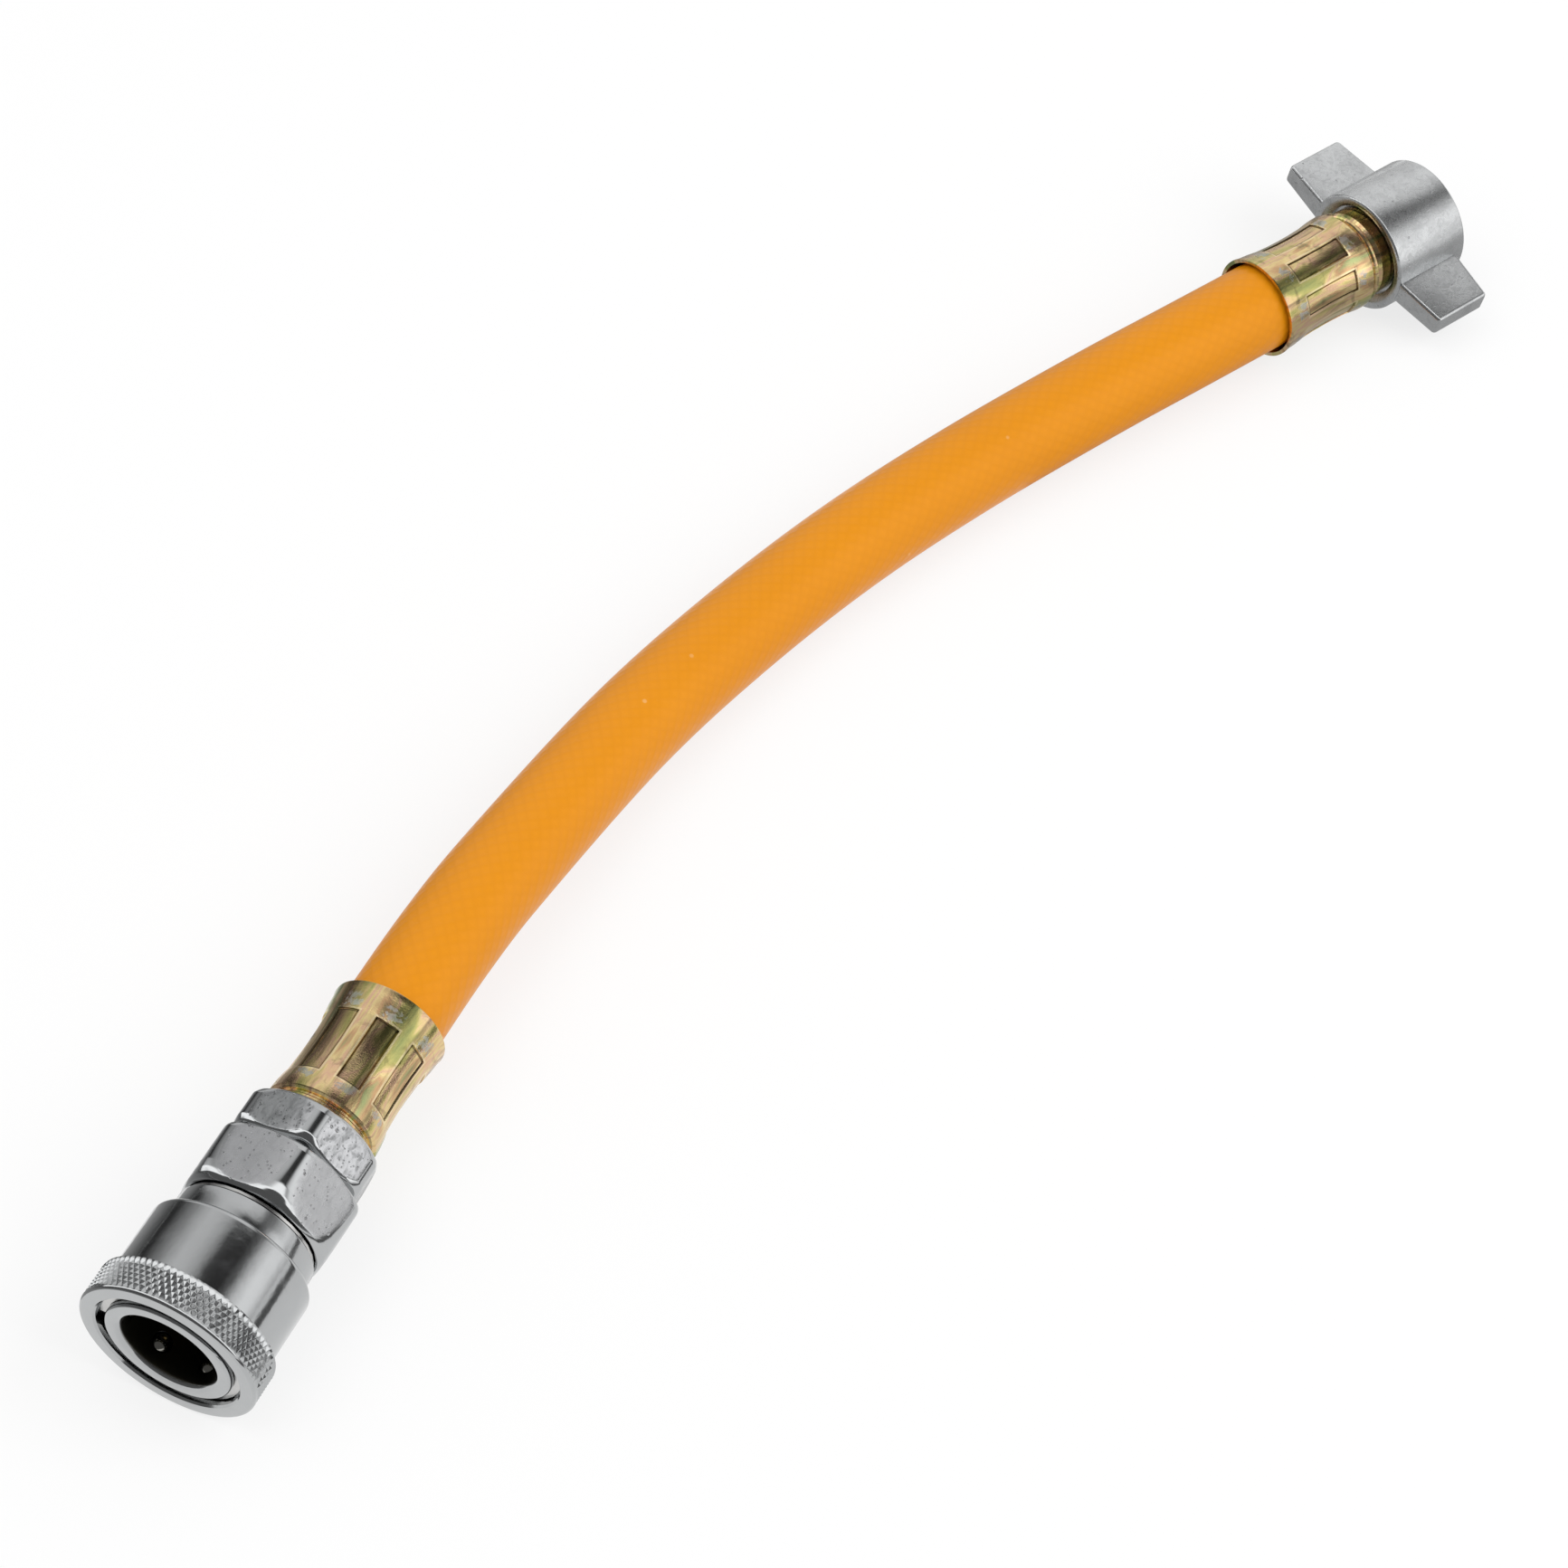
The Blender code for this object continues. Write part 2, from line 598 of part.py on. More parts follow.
def make_coupler_stem(parent, finish):
    """Male thread, hexagon, neck and barbed tail, all turned from one hexagon bar."""
    flat = 0.5 * STEM_FLATS
    corner = STEM_FLATS / math.sqrt(3.0) + 0.05 * MM
    thread_start = ADAPTER_SEAT_STATION + ADAPTER_SEAT_WALL + SEAT_GAP
    tail = FERRULE_STATION + FERRULE_END_WALL + SEAT_GAP
    profile = [
        (thread_start, STEM_BORE_RADIUS),
        (thread_start, STEM_THREAD_RADIUS - 0.5 * MM),
        (thread_start + 0.5 * MM, STEM_THREAD_RADIUS),
        (STEM_HEX_START, STEM_THREAD_RADIUS),
        (STEM_HEX_START, flat - 0.3 * MM),
        (STEM_HEX_START + 0.4 * STEM_HEX_CHAMFER, 0.5 * (flat + corner)),
        (STEM_HEX_START + STEM_HEX_CHAMFER, corner),
        (STEM_HEX_END - STEM_HEX_CHAMFER, corner),
        (STEM_HEX_END - 0.4 * STEM_HEX_CHAMFER, 0.5 * (flat + corner)),
        (STEM_HEX_END, flat - 0.3 * MM),
        (STEM_HEX_END, STEM_NECK_RADIUS),
        (tail, STEM_NECK_RADIUS),
    ]
    profile += barb_profile(tail, 1.0)
    stem = add_object("coupler_stem", turned("coupler_stem", profile, SMALL_STEPS), parent, finish)
    span = (thread_start - 5.0 * MM, profile[-1][0] + 5.0 * MM)
    bar = hexagon_bar("stem_bar", parent, STEM_FLATS, *span, STEM_HEX_ROLL_DEG)
    add_boolean(stem, bar, "INTERSECT")
    return stem


def make_wing_stem(parent, finish):
    """Barbed tail, collar, neck and the head that is swaged over once the nut is on."""
    collar_start = WING_FERRULE_STATION + SEAT_GAP
    tail = WING_FERRULE_STATION - FERRULE_END_WALL - SEAT_GAP
    head_end = HEAD_STATION + HEAD_WIDTH
    collar_end = WING_WEB_START - SEAT_GAP
    profile = [
        (head_end, STEM_BORE_RADIUS),
        (head_end, HEAD_RADIUS - 0.6 * MM),
        (head_end - 0.6 * MM, HEAD_RADIUS),
        (HEAD_STATION, HEAD_RADIUS),
        (HEAD_STATION, WING_NECK_RADIUS),
        (collar_end, WING_NECK_RADIUS),
        (collar_end, COLLAR_RADIUS),
        (collar_start + 0.8 * MM, COLLAR_RADIUS),
        (collar_start, COLLAR_RADIUS - 0.8 * MM),
        (collar_start, STEM_NECK_RADIUS),
        (tail, STEM_NECK_RADIUS),
    ]
    profile += barb_profile(tail, -1.0)
    return add_object("wing_stem", turned("wing_stem", profile, SMALL_STEPS), parent, finish)


def crimp_angles():
    """Angles round a ferrule: the two feet and two edges of each ridge, and the middle of each flat."""
    period = 360.0 / CRIMP_SIDES
    offsets = (-CRIMP_FOOT_DEG, -CRIMP_RIDGE_DEG, CRIMP_RIDGE_DEG, CRIMP_FOOT_DEG, 0.5 * period)
    return [(period * side + offset, offset) for side in range(CRIMP_SIDES) for offset in offsets]


def crimped_radius(offset, pressed):
    """The outer radius at one angle: a straight flat between ridges that the dies left standing."""
    if abs(offset) <= CRIMP_RIDGE_DEG:
        return pressed + CRIMP_RIDGE_HEIGHT
    half = 180.0 / CRIMP_SIDES
    from_middle = math.radians(half - abs(offset))
    flat = pressed * math.cos(math.radians(half - CRIMP_FOOT_DEG))
    return flat / math.cos(from_middle)


def make_ferrule(name, parent, station, direction, finish):
    """A turned cup, pressed onto the hose by eight dies between crimp start and crimp end."""
    length = FERRULE_LENGTH
    hole = STEM_NECK_RADIUS + SEAT_GAP
    outside = (
        (0.0, BEAD_RADIUS - 0.6 * MM, False),
        (0.3 * MM, BEAD_RADIUS, False),
        (0.9 * MM, BEAD_RADIUS, False),
        (1.1 * MM, BEAD_GROOVE_RADIUS, False),
        (1.4 * MM, BEAD_GROOVE_RADIUS, False),
        (1.8 * MM, FERRULE_BODY_RADIUS, False),
        (CRIMP_START - CRIMP_BLEND, FERRULE_BODY_RADIUS, False),
        (CRIMP_START, FERRULE_WAIST_RADIUS, True),
        (CRIMP_END, FERRULE_WAIST_RADIUS, True),
        (CRIMP_END + CRIMP_BLEND, FERRULE_BODY_RADIUS, False),
        (length - 0.8 * MM, FERRULE_MOUTH_RADIUS, False),
        (length, FERRULE_MOUTH_RADIUS + FERRULE_LIP, False),
    )
    inside = (
        (length, FERRULE_MOUTH_RADIUS + FERRULE_LIP - 0.7 * FERRULE_WALL, False),
        (CRIMP_END + CRIMP_BLEND, FERRULE_BODY_RADIUS - FERRULE_WALL, False),
        (CRIMP_END, FERRULE_WAIST_RADIUS - FERRULE_WALL, False),
        (CRIMP_START, FERRULE_WAIST_RADIUS - FERRULE_WALL, False),
        (CRIMP_START - CRIMP_BLEND, FERRULE_BODY_RADIUS - FERRULE_WALL, False),
        (FERRULE_END_WALL, FERRULE_BODY_RADIUS - FERRULE_WALL, False),
        (FERRULE_END_WALL, hole, False),
        (0.0, hole, False),
    )
    rings = []
    for distance, radius, pressed in outside + inside:
        ring = []
        for angle_deg, offset in crimp_angles():
            at = crimped_radius(offset, radius) if pressed else radius
            angle = math.radians(angle_deg)
            along = station + direction * distance
            ring.append((along, at * math.cos(angle), at * math.sin(angle)))
        rings.append(ring)
    return add_object(name, lofted(name, rings), parent, finish)


def squeezed_hose_radii():
    """Distance from a ferrule's small end and the hose's radius there, where the crimp grips it."""
    gripped = FERRULE_WAIST_RADIUS - FERRULE_WALL - SEAT_GAP
    free = HOSE_RADIUS
    return (
        (FERRULE_END_WALL + HOSE_SETBACK, free - 0.15 * MM),
        (CRIMP_START - CRIMP_BLEND - 0.4 * MM, free - 0.15 * MM),
        (CRIMP_START - 0.6 * MM, gripped),
        (CRIMP_END + 0.6 * MM, gripped),
        (CRIMP_END + CRIMP_BLEND + 1.0 * MM, free - 0.1 * MM),
        (FERRULE_LENGTH - 0.5 * MM, free),
    )


def make_hose(mouth, wing_origin, wing_axis, finish):
    """The hose over both barbed tails, squeezed where each ferrule is crimped."""
    coupler_axis = Vector((1.0, 0.0, 0.0))
    near = mouth + coupler_axis * FERRULE_STATION
    far = wing_origin + wing_axis * WING_FERRULE_STATION
    near_end = [(near + coupler_axis * d, r) for d, r in squeezed_hose_radii()]
    far_end = [(far - wing_axis * d, r) for d, r in reversed(squeezed_hose_radii())]
    floor_mouth = Vector((mouth.x, mouth.y, 0.0))
    route = [floor_mouth + Vector(point) * MM for point in HOSE_ROUTE]
    guide = [near_end[-1][0], *route, far_end[0][0]]
    free = smooth_route(guide, coupler_axis, wing_axis, HOSE_STEPS)
    centres = near_end + [(point, HOSE_RADIUS) for point in free[1:-1]] + far_end
    curve = bpy.data.curves.new("hose", "CURVE")
    curve.dimensions = "3D"
    curve.bevel_depth = HOSE_RADIUS
    curve.bevel_resolution = HOSE_BEVEL_RESOLUTION
    line = curve.splines.new("POLY")
    line.points.add(len(centres) - 1)
    for point, (centre, radius) in zip(line.points, centres):
        point.co = (*centre, 1.0)
        point.radius = radius / HOSE_RADIUS
    hose = add_object("hose", curve, None, finish)
    wall = hose.modifiers.new("wall", "SOLIDIFY")
    wall.thickness = HOSE_WALL
    wall.offset = -1.0
    wall.use_rim = True
    return hose


def make_wing(parent, name, turn):
    """One tapered wing, its edges rounded, ready to join the nut's barrel."""
    root = WING_RECESS_RADIUS + WING_RECESS_CHAMFER
    root_half = 0.5 * WING_ROOT_THICKNESS
    tip_half = 0.5 * WING_TIP_THICKNESS
    shape = bmesh.new()
    outline = (
        (WING_ROOT_REAR, root, root_half),
        (WING_TIP_REAR, WING_REACH, tip_half),
        (WING_TIP_FRONT, WING_REACH, tip_half),
        (WING_ROOT_FRONT, root, root_half),
    )
    lower = [shape.verts.new((x, y, -half)) for x, y, half in outline]
    upper = [shape.verts.new((x, y, half)) for x, y, half in outline]
    shape.faces.new(reversed(lower))
    shape.faces.new(upper)
    for i in range(len(outline)):
        shape.faces.new((lower[i - 1], lower[i], upper[i], upper[i - 1]))
    bmesh.ops.recalc_face_normals(shape, faces=shape.faces)
    rounded = [edge for edge in shape.edges if max(v.co.y for v in edge.verts) > root + MM]
    bmesh.ops.bevel(
        shape, geom=rounded, offset=WING_EDGE, segments=2, profile=0.5, affect="EDGES"
    )
    spin = Matrix.Rotation(turn, 3, "X")
    bmesh.ops.rotate(shape, verts=shape.verts, matrix=spin)
    return helper(name, finish_mesh(name, shape), parent)


def make_wing_nut(parent, finish):
    web_hole = WING_NECK_RADIUS + SEAT_GAP
    profile = (
        (WING_WEB_START, web_hole),
        (WING_WEB_START, WING_RECESS_RADIUS),
        (WING_RECESS_CHAMFER, WING_RECESS_RADIUS),
        (0.0, WING_RECESS_RADIUS + WING_RECESS_CHAMFER),
        (0.0, WING_RADIUS - WING_EDGE),
        (WING_EDGE, WING_RADIUS),
        (WING_LENGTH - WING_EDGE, WING_RADIUS),
        (WING_LENGTH, WING_RADIUS - WING_EDGE),
        (WING_LENGTH, WING_SOCKET_RADIUS + 0.8 * MM),
        (WING_LENGTH - 0.8 * MM, WING_SOCKET_RADIUS),
        (WING_WEB_START + WING_WEB_WALL, WING_SOCKET_RADIUS),
        (WING_WEB_START + WING_WEB_WALL, web_hole),
    )
    nut = add_object("wing_nut", turned("wing_nut", profile), parent, finish)
    for i in range(2):
        wing = make_wing(parent, f"wing_{i + 1}", math.radians(WING_ROLL_DEG) + i * math.pi)
        add_boolean(nut, wing, "UNION")
    return nut


def make_wing_gasket(parent, finish):
    start = WING_GASKET_STATION
    end = start + WING_GASKET_THICKNESS
    profile = (
        (start, WING_GASKET_HOLE),
        (start, WING_GASKET_RADIUS),
        (end, WING_GASKET_RADIUS),
        (end, WING_GASKET_HOLE),
    )
    mesh = turned("wing_gasket", profile, SMALL_STEPS)
    return add_object("wing_gasket", mesh, parent, finish)


def plan_centre():
    """The middle of the object's plan, from the centre of the coupler's mouth."""
    heading = math.radians(WING_HEADING_DEG)
    along = Vector((math.cos(heading), math.sin(heading)))
    across = Vector((-math.sin(heading), math.cos(heading)))
    nut = Vector((WING_OFFSET_X, WING_OFFSET_Y))
    reach = WING_REACH * math.cos(math.radians(WING_ROLL_DEG))
    corners = [
        nut + along * station + across * side * reach
        for station in (WING_TIP_REAR, WING_TIP_FRONT)
        for side in (1.0, -1.0)
    ]
    corners += [nut + along * WING_LENGTH + across * side * WING_RADIUS for side in (1.0, -1.0)]
    high_x = max(corner.x for corner in corners)
    low_y = min(corner.y for corner in corners)
    return 0.5 * high_x, 0.5 * (low_y + RING_RADIUS)


def main():
    clear_scene()
    chrome = material("chrome", (0.60, 0.61, 0.62), 1.0, 0.12)
    satin = material("satin_chrome", (0.55, 0.55, 0.56), 1.0, 0.32)
    steel = material("bright_steel", (0.62, 0.61, 0.59), 1.0, 0.22)
    zinc = material("yellow_zinc", (0.62, 0.50, 0.27), 1.0, 0.3)
    die_cast = material("die_cast_zinc", (0.42, 0.43, 0.44), 0.9, 0.5)
    pvc = material("orange_pvc", (0.83, 0.33, 0.02), 0.0, 0.4)
    rubber = material("black_rubber", (0.03, 0.03, 0.03), 0.0, 0.6)
    brass = material("brass", (0.68, 0.51, 0.22), 1.0, 0.3)

    centre_x, centre_y = plan_centre()
    mouth = Vector((-centre_x, -centre_y, RING_RADIUS))
    wing_origin = Vector((mouth.x + WING_OFFSET_X, mouth.y + WING_OFFSET_Y, WING_RADIUS))
    heading = math.radians(WING_HEADING_DEG)
    wing_axis = Vector((math.cos(heading), math.sin(heading), 0.0))
    coupler_frame = frame_empty("coupler_frame", mouth, 0.0)
    wing_frame = frame_empty("wing_frame", wing_origin, heading)

    make_sleeve(coupler_frame, chrome)
    make_snap_ring(coupler_frame, steel)
    make_balls(coupler_frame, steel)
    make_barrel(coupler_frame, chrome)
    make_plug_seal(coupler_frame, rubber)
    head_end = make_poppet(coupler_frame, brass, rubber)
    coil_spring(
        "sleeve_spring",
        coupler_frame,
        steel,
        LAND_END + SEAT_GAP,
        NECK_START - SEAT_GAP,
        BARREL_RADIUS + SPRING_GAP + SLEEVE_SPRING_WIRE,
        SLEEVE_SPRING_WIRE,
        SLEEVE_SPRING_TURNS,
    )
    coil_spring(
        "valve_spring",
        coupler_frame,
        steel,
        head_end + SEAT_GAP,
        ADAPTER_SEAT_STATION - SEAT_GAP,
        POPPET_GUIDE_RADIUS + 2.0 * SPRING_GAP + VALVE_SPRING_WIRE,
        VALVE_SPRING_WIRE,
        VALVE_SPRING_TURNS,
    )
    make_body_gasket(coupler_frame, steel)
    make_adapter(coupler_frame, satin)
    make_coupler_stem(coupler_frame, satin)
    make_ferrule("coupler_ferrule", coupler_frame, FERRULE_STATION, 1.0, zinc)
    make_ferrule("wing_ferrule", wing_frame, WING_FERRULE_STATION, -1.0, zinc)
    make_wing_stem(wing_frame, zinc)
    make_wing_nut(wing_frame, die_cast)
    make_wing_gasket(wing_frame, rubber)
    make_hose(mouth, wing_origin, wing_axis, pvc)


main()
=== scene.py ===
"""Dresses the air hose: its chrome socket, crimped ferrules, orange hose and wing nut.

The frame holds every piece at its real place. Pieces whose surface shows are modelled again here
with finer edges, and the hidden ones keep their own mesh under a finish. Turned pieces are drawn
as stations along a fitting's axis and radii about it, in metres.
"""

import json
import logging
import math
from collections.abc import Callable, Iterator, Mapping, Sequence
from contextlib import contextmanager
from dataclasses import dataclass
from enum import Enum
from typing import Any

import bmesh
import bpy
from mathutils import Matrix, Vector


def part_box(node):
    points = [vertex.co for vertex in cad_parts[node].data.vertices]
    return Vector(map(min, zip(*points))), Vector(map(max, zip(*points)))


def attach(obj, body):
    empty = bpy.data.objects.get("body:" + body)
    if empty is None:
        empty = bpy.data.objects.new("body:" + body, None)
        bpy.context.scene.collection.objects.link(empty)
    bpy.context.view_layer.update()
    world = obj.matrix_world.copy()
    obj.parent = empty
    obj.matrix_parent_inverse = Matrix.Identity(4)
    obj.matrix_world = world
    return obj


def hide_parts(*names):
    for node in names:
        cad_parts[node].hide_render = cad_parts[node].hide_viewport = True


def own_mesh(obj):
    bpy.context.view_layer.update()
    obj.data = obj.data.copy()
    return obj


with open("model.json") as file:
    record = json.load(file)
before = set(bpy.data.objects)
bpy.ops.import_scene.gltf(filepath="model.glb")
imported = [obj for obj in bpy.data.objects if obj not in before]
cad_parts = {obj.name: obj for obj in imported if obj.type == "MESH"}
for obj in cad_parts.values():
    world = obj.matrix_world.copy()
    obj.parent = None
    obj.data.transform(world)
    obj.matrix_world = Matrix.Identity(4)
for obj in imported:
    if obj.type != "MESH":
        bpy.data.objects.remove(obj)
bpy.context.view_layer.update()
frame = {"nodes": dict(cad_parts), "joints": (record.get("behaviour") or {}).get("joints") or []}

log = logging.getLogger("air_hose")

MM = 0.001
TURN = 2.0 * math.pi
Piece = bpy.types.Object
Colour = tuple[float, float, float]
Profile = Sequence[tuple[float, float]]
Outline = list[tuple[float, float]]
WHITE = (1.0, 1.0, 1.0)
FLAT_EDGE_MM = (0.09, 0.03)


class Element(Enum):
    """What a selection in edit mode is made of."""

    VERTS = "VERT"
    EDGES = "EDGE"
    FACES = "FACE"


class Join(Enum):
    """How a Boolean combines two pieces."""

    ADD = "UNION"
    CUT = "DIFFERENCE"


# Shader maths


Number = "Signal | float"


@dataclass(frozen=True)
class Signal:
    """A socket of a material, with operators that add its Math nodes."""

    graph: "Graph"
    socket: bpy.types.NodeSocket

    def __add__(self, other: Number) -> "Signal":
        """Adds."""
        return self.graph.maths("ADD", self, other)

    __radd__ = __add__

    def __sub__(self, other: Number) -> "Signal":
        """Subtracts."""
        return self.graph.maths("SUBTRACT", self, other)

    def __rsub__(self, other: Number) -> "Signal":
        """Subtracts this from a number."""
        return self.graph.maths("SUBTRACT", other, self)

    def __mul__(self, other: Number) -> "Signal":
        """Multiplies."""
        return self.graph.maths("MULTIPLY", self, other)

    __rmul__ = __mul__

    def __truediv__(self, other: Number) -> "Signal":
        """Divides."""
        return self.graph.maths("DIVIDE", self, other)

    def __rtruediv__(self, other: Number) -> "Signal":
        """Divides a number by this."""
        return self.graph.maths("DIVIDE", other, self)

    def __pow__(self, other: Number) -> "Signal":
        """Raises to a power."""
        return self.graph.maths("POWER", self, other)

    def __abs__(self) -> "Signal":
        """The size without its sign."""
        return self.graph.maths("ABSOLUTE", self)

    def sine(self) -> "Signal":
        """The sine."""
        return self.graph.maths("SINE", self)

    def fraction(self) -> "Signal":
        """What is left after the whole number."""
        return self.graph.maths("FRACT", self)

    def least(self, other: Number) -> "Signal":
        """The smaller of the two."""
        return self.graph.maths("MINIMUM", self, other)

    def most(self, other: Number) -> "Signal":
        """The larger of the two."""
        return self.graph.maths("MAXIMUM", self, other)

    def step(self, low: float, high: float) -> "Signal":
        """Eases from 0 at low to 1 at high.

        Args:
            low: The value at which the result leaves 0.
            high: The value at which it reaches 1.

        Returns:
            The eased share.
        """
        return self.graph.signal(
            "ShaderNodeMapRange",
            {"interpolation_type": "SMOOTHSTEP"},
            {"Value": self, "From Min": low, "From Max": high},
        )


@dataclass(frozen=True)
class Turned:
    """Places on a turned piece: millimetres along its axis and from it, and the angle round it."""

    station: Signal
    radius: Signal
    angle: Signal
    point: Signal


class Graph:
    """The nodes of one material, or of the world."""

    def __init__(self, name: str, owner: Any = None) -> None:
        """Starts an empty material of this name, or clears what is given in its place."""
        self.owner = owner or bpy.data.materials.new(name)
        self.owner.use_nodes = True
        self.tree = self.owner.node_tree
        self.tree.nodes.clear()

    def node(
        self,
        kind: str,
        settings: Mapping[str, Any] | None = None,
        sockets: Mapping[Any, Any] | None = None,
    ) -> bpy.types.Node:
        """Adds a node.

        Args:
            kind: Blender's name for the node's type.
            settings: Its properties, with a ramp's stops as (place, colour) pairs.
            sockets: Values or signals for its inputs, by name or number.

        Returns:
            The new node.
        """
        made = self.tree.nodes.new(kind)
        for key, value in (settings or {}).items():
            if key == "stops":
                ramp = made.color_ramp.elements
                while len(ramp) < len(value):
                    ramp.new(1.0)
                for stop, (place, colour) in zip(ramp, value):
                    stop.position = place
                    stop.color = (*colour, 1.0)
            else:
                setattr(made, key, value)
        for key, value in (sockets or {}).items():
            if isinstance(value, Signal):
                self.tree.links.new(value.socket, made.inputs[key])
            else:
                made.inputs[key].default_value = value
        return made

    def signal(
        self,
        kind: str,
        settings: Mapping[str, Any] | None = None,
        sockets: Mapping[Any, Any] | None = None,
        output: int | str = 0,
    ) -> Signal:
        """Adds a node as node() does, and gives one of its outputs."""
        return Signal(self, self.node(kind, settings, sockets).outputs[output])

    def maths(self, operation: str, *values: Number) -> Signal:
        """One Math node on these values."""
        return self.signal("ShaderNodeMath", {"operation": operation}, dict(enumerate(values)))

    def mix(self, share: Number, first: Any, second: Any) -> Signal:
        """Mixes two colours, or signals, by the share of the second."""
        sockets = {0: share, 6: self.colour(first), 7: self.colour(second)}
        return self.signal("ShaderNodeMix", {"data_type": "RGBA"}, sockets, 2)

    @staticmethod
    def colour(value: Any) -> Any:
        """Gives a plain colour its alpha, and leaves a signal alone."""
        return value if isinstance(value, Signal) else (*value, 1.0)

    def ramp(self, place: Signal, stops: Sequence[tuple[float, tuple[float, ...]]]) -> Signal:
        """A colour ramp through these stops."""
        return self.signal("ShaderNodeValToRGB", {"stops": stops}, {"Fac": place})

    def noise(self, point: Signal, scale: float, detail: float = 3.0, warp: float = 0.0) -> Signal:
        """Noise at this many waves to a unit, from 0 to 1."""
        sockets = {"Vector": point, "Scale": scale, "Detail": detail, "Distortion": warp}
        return self.signal("ShaderNodeTexNoise", {}, sockets)

    def specks(self, point: Signal, scale: float, size: float, share: float) -> Signal:
        """Scattered round specks.

        Args:
            point: Where the surface is.
            scale: Cells a millimetre.
            size: A speck's radius as a share of its cell.
            share: How many of the cells hold one.

        Returns:
            1 inside a speck and 0 elsewhere.
        """
        cell = self.node("ShaderNodeTexVoronoi", {}, {"Vector": point, "Scale": scale})
        pick = self.signal("ShaderNodeSeparateColor", {}, {0: Signal(self, cell.outputs["Color"])})
        chosen = pick.step(1.0 - share, 1.0 - 0.8 * share)
        inside = 1.0 - Signal(self, cell.outputs["Distance"]).step(0.5 * size, size)
        return inside * chosen

    def on_flats(self, at: "Turned", flats_mm: float, roll_deg: float) -> Signal:
        """Tells a hexagon's flats from what is turned on it.

        Args:
            at: Where the surface is.
            flats_mm: The size across the flats.
            roll_deg: Where one flat faces, from Y towards Z.

        Returns:
            1 on the flats and 0 elsewhere.
        """
        reach = None
        for i in range(3):
            offset = math.radians(90.0 - roll_deg - 60.0 * i)
            across = abs((at.angle + offset).sine()) * at.radius
            reach = across if reach is None else reach.most(across)
        flat = 0.5 * flats_mm
        return reach.step(flat - FLAT_EDGE_MM[0], flat - FLAT_EDGE_MM[1])

    def bump(self, height: Signal, depth: float) -> Signal:
        """A Bump node for a height of this depth in metres."""
        return self.signal("ShaderNodeBump", {}, {"Height": height, "Distance": depth})

    def combine(self, x: Number, y: Number, z: Number) -> Signal:
        """A vector of three values."""
        return self.signal("ShaderNodeCombineXYZ", {}, {0: x, 1: y, 2: z})

    def split(self, vector: Signal) -> tuple[Signal, Signal, Signal]:
        """A vector's three values."""
        made = self.node("ShaderNodeSeparateXYZ", {}, {0: vector})
        return tuple(Signal(self, made.outputs[i]) for i in range(3))

    def place(self) -> Signal:
        """The object's own coordinates, in metres."""
        return self.signal("ShaderNodeTexCoord", output="Object")

    def uv(self) -> tuple[Signal, Signal]:
        """The piece's own UV map, as two signals."""
        return self.split(self.signal("ShaderNodeUVMap", {"uv_map": "UVMap"}))[:2]

    def seen_straight(self) -> Signal:
        """1 for what the camera, a metal or a glass shows, and 0 for the light on things."""
        ray = self.node("ShaderNodeLightPath")
        camera, metal, glass = (
            Signal(self, ray.outputs[f"Is {kind} Ray"]) for kind in ("Camera", "Glossy", "Transmission")
        )
        return camera.most(metal).most(glass)

    def emission(self, colour: Any, strength: Number) -> Signal:
        """A shader that glows."""
        return self.signal("ShaderNodeEmission", {}, {"Color": self.colour(colour), "Strength": strength})

    def finish(self, shader: Signal, target: str = "Material") -> bpy.types.Material:
        """Ends the graph in this shader."""
        self.node(f"ShaderNodeOutput{target}", {}, {"Surface": shader})
        return self.owner

    def surface(self, values: Mapping[str, Any]) -> bpy.types.Material:
        """Ends the graph in one Principled shader with these sockets."""
        return self.finish(self.signal("ShaderNodeBsdfPrincipled", {}, values))


# Where the two fittings lie


def joint_named(name: str) -> Mapping[str, Any]:
    """The frame's joint of this name."""
    return next(joint for joint in frame["joints"] if joint["name"] == name)


@dataclass(frozen=True)
class Fitting:
    """The axis of one end of the hose."""

    origin: Vector
    axis: Vector

    @classmethod
    def from_joint(cls, joint: str, station: float) -> "Fitting":
        """Finds a fitting from its turning joint.

        Args:
            joint: The joint's name.
            station: How far along the axis the joint's point lies.

        Returns:
            The fitting, with its origin at station 0.
        """
        found = joint_named(joint)
        axis = Vector(found["axis"]).normalized()
        return cls(Vector(found["pos_m"]) - axis * station, axis)

    @property
    def heading(self) -> float:
        """The axis's direction in plan, in radians from X."""
        return math.atan2(self.axis.y, self.axis.x)

    def point(self, station: float) -> Vector:
        """A point on the axis."""
        return self.origin + self.axis * station

    def place(self, piece: Piece) -> None:
        """Moves a piece that was drawn along X to this fitting, and applies the move."""
        piece.rotation_euler.z = self.heading
        piece.location = self.origin
        Bench.fix_place(piece)

    def turned(self, graph: Graph) -> Turned:
        """The fitting's own coordinates, in millimetres, for a material."""
        point = graph.signal(
            "ShaderNodeMapping",
            {"vector_type": "TEXTURE"},
            {
                "Vector": graph.place(),
                "Location": self.origin,
                "Rotation": (0.0, 0.0, self.heading),
                "Scale": (MM, MM, MM),
            },
        )
        station, across, up = graph.split(point)
        radius = (across * across + up * up) ** 0.5
        return Turned(station, radius, graph.maths("ARCTAN2", up, across), point)


COUPLER = Fitting.from_joint("sleeve_turn", 2.0 * MM)
WING_END = Fitting.from_joint("nut_turn", 8.0 * MM)


# Finishes


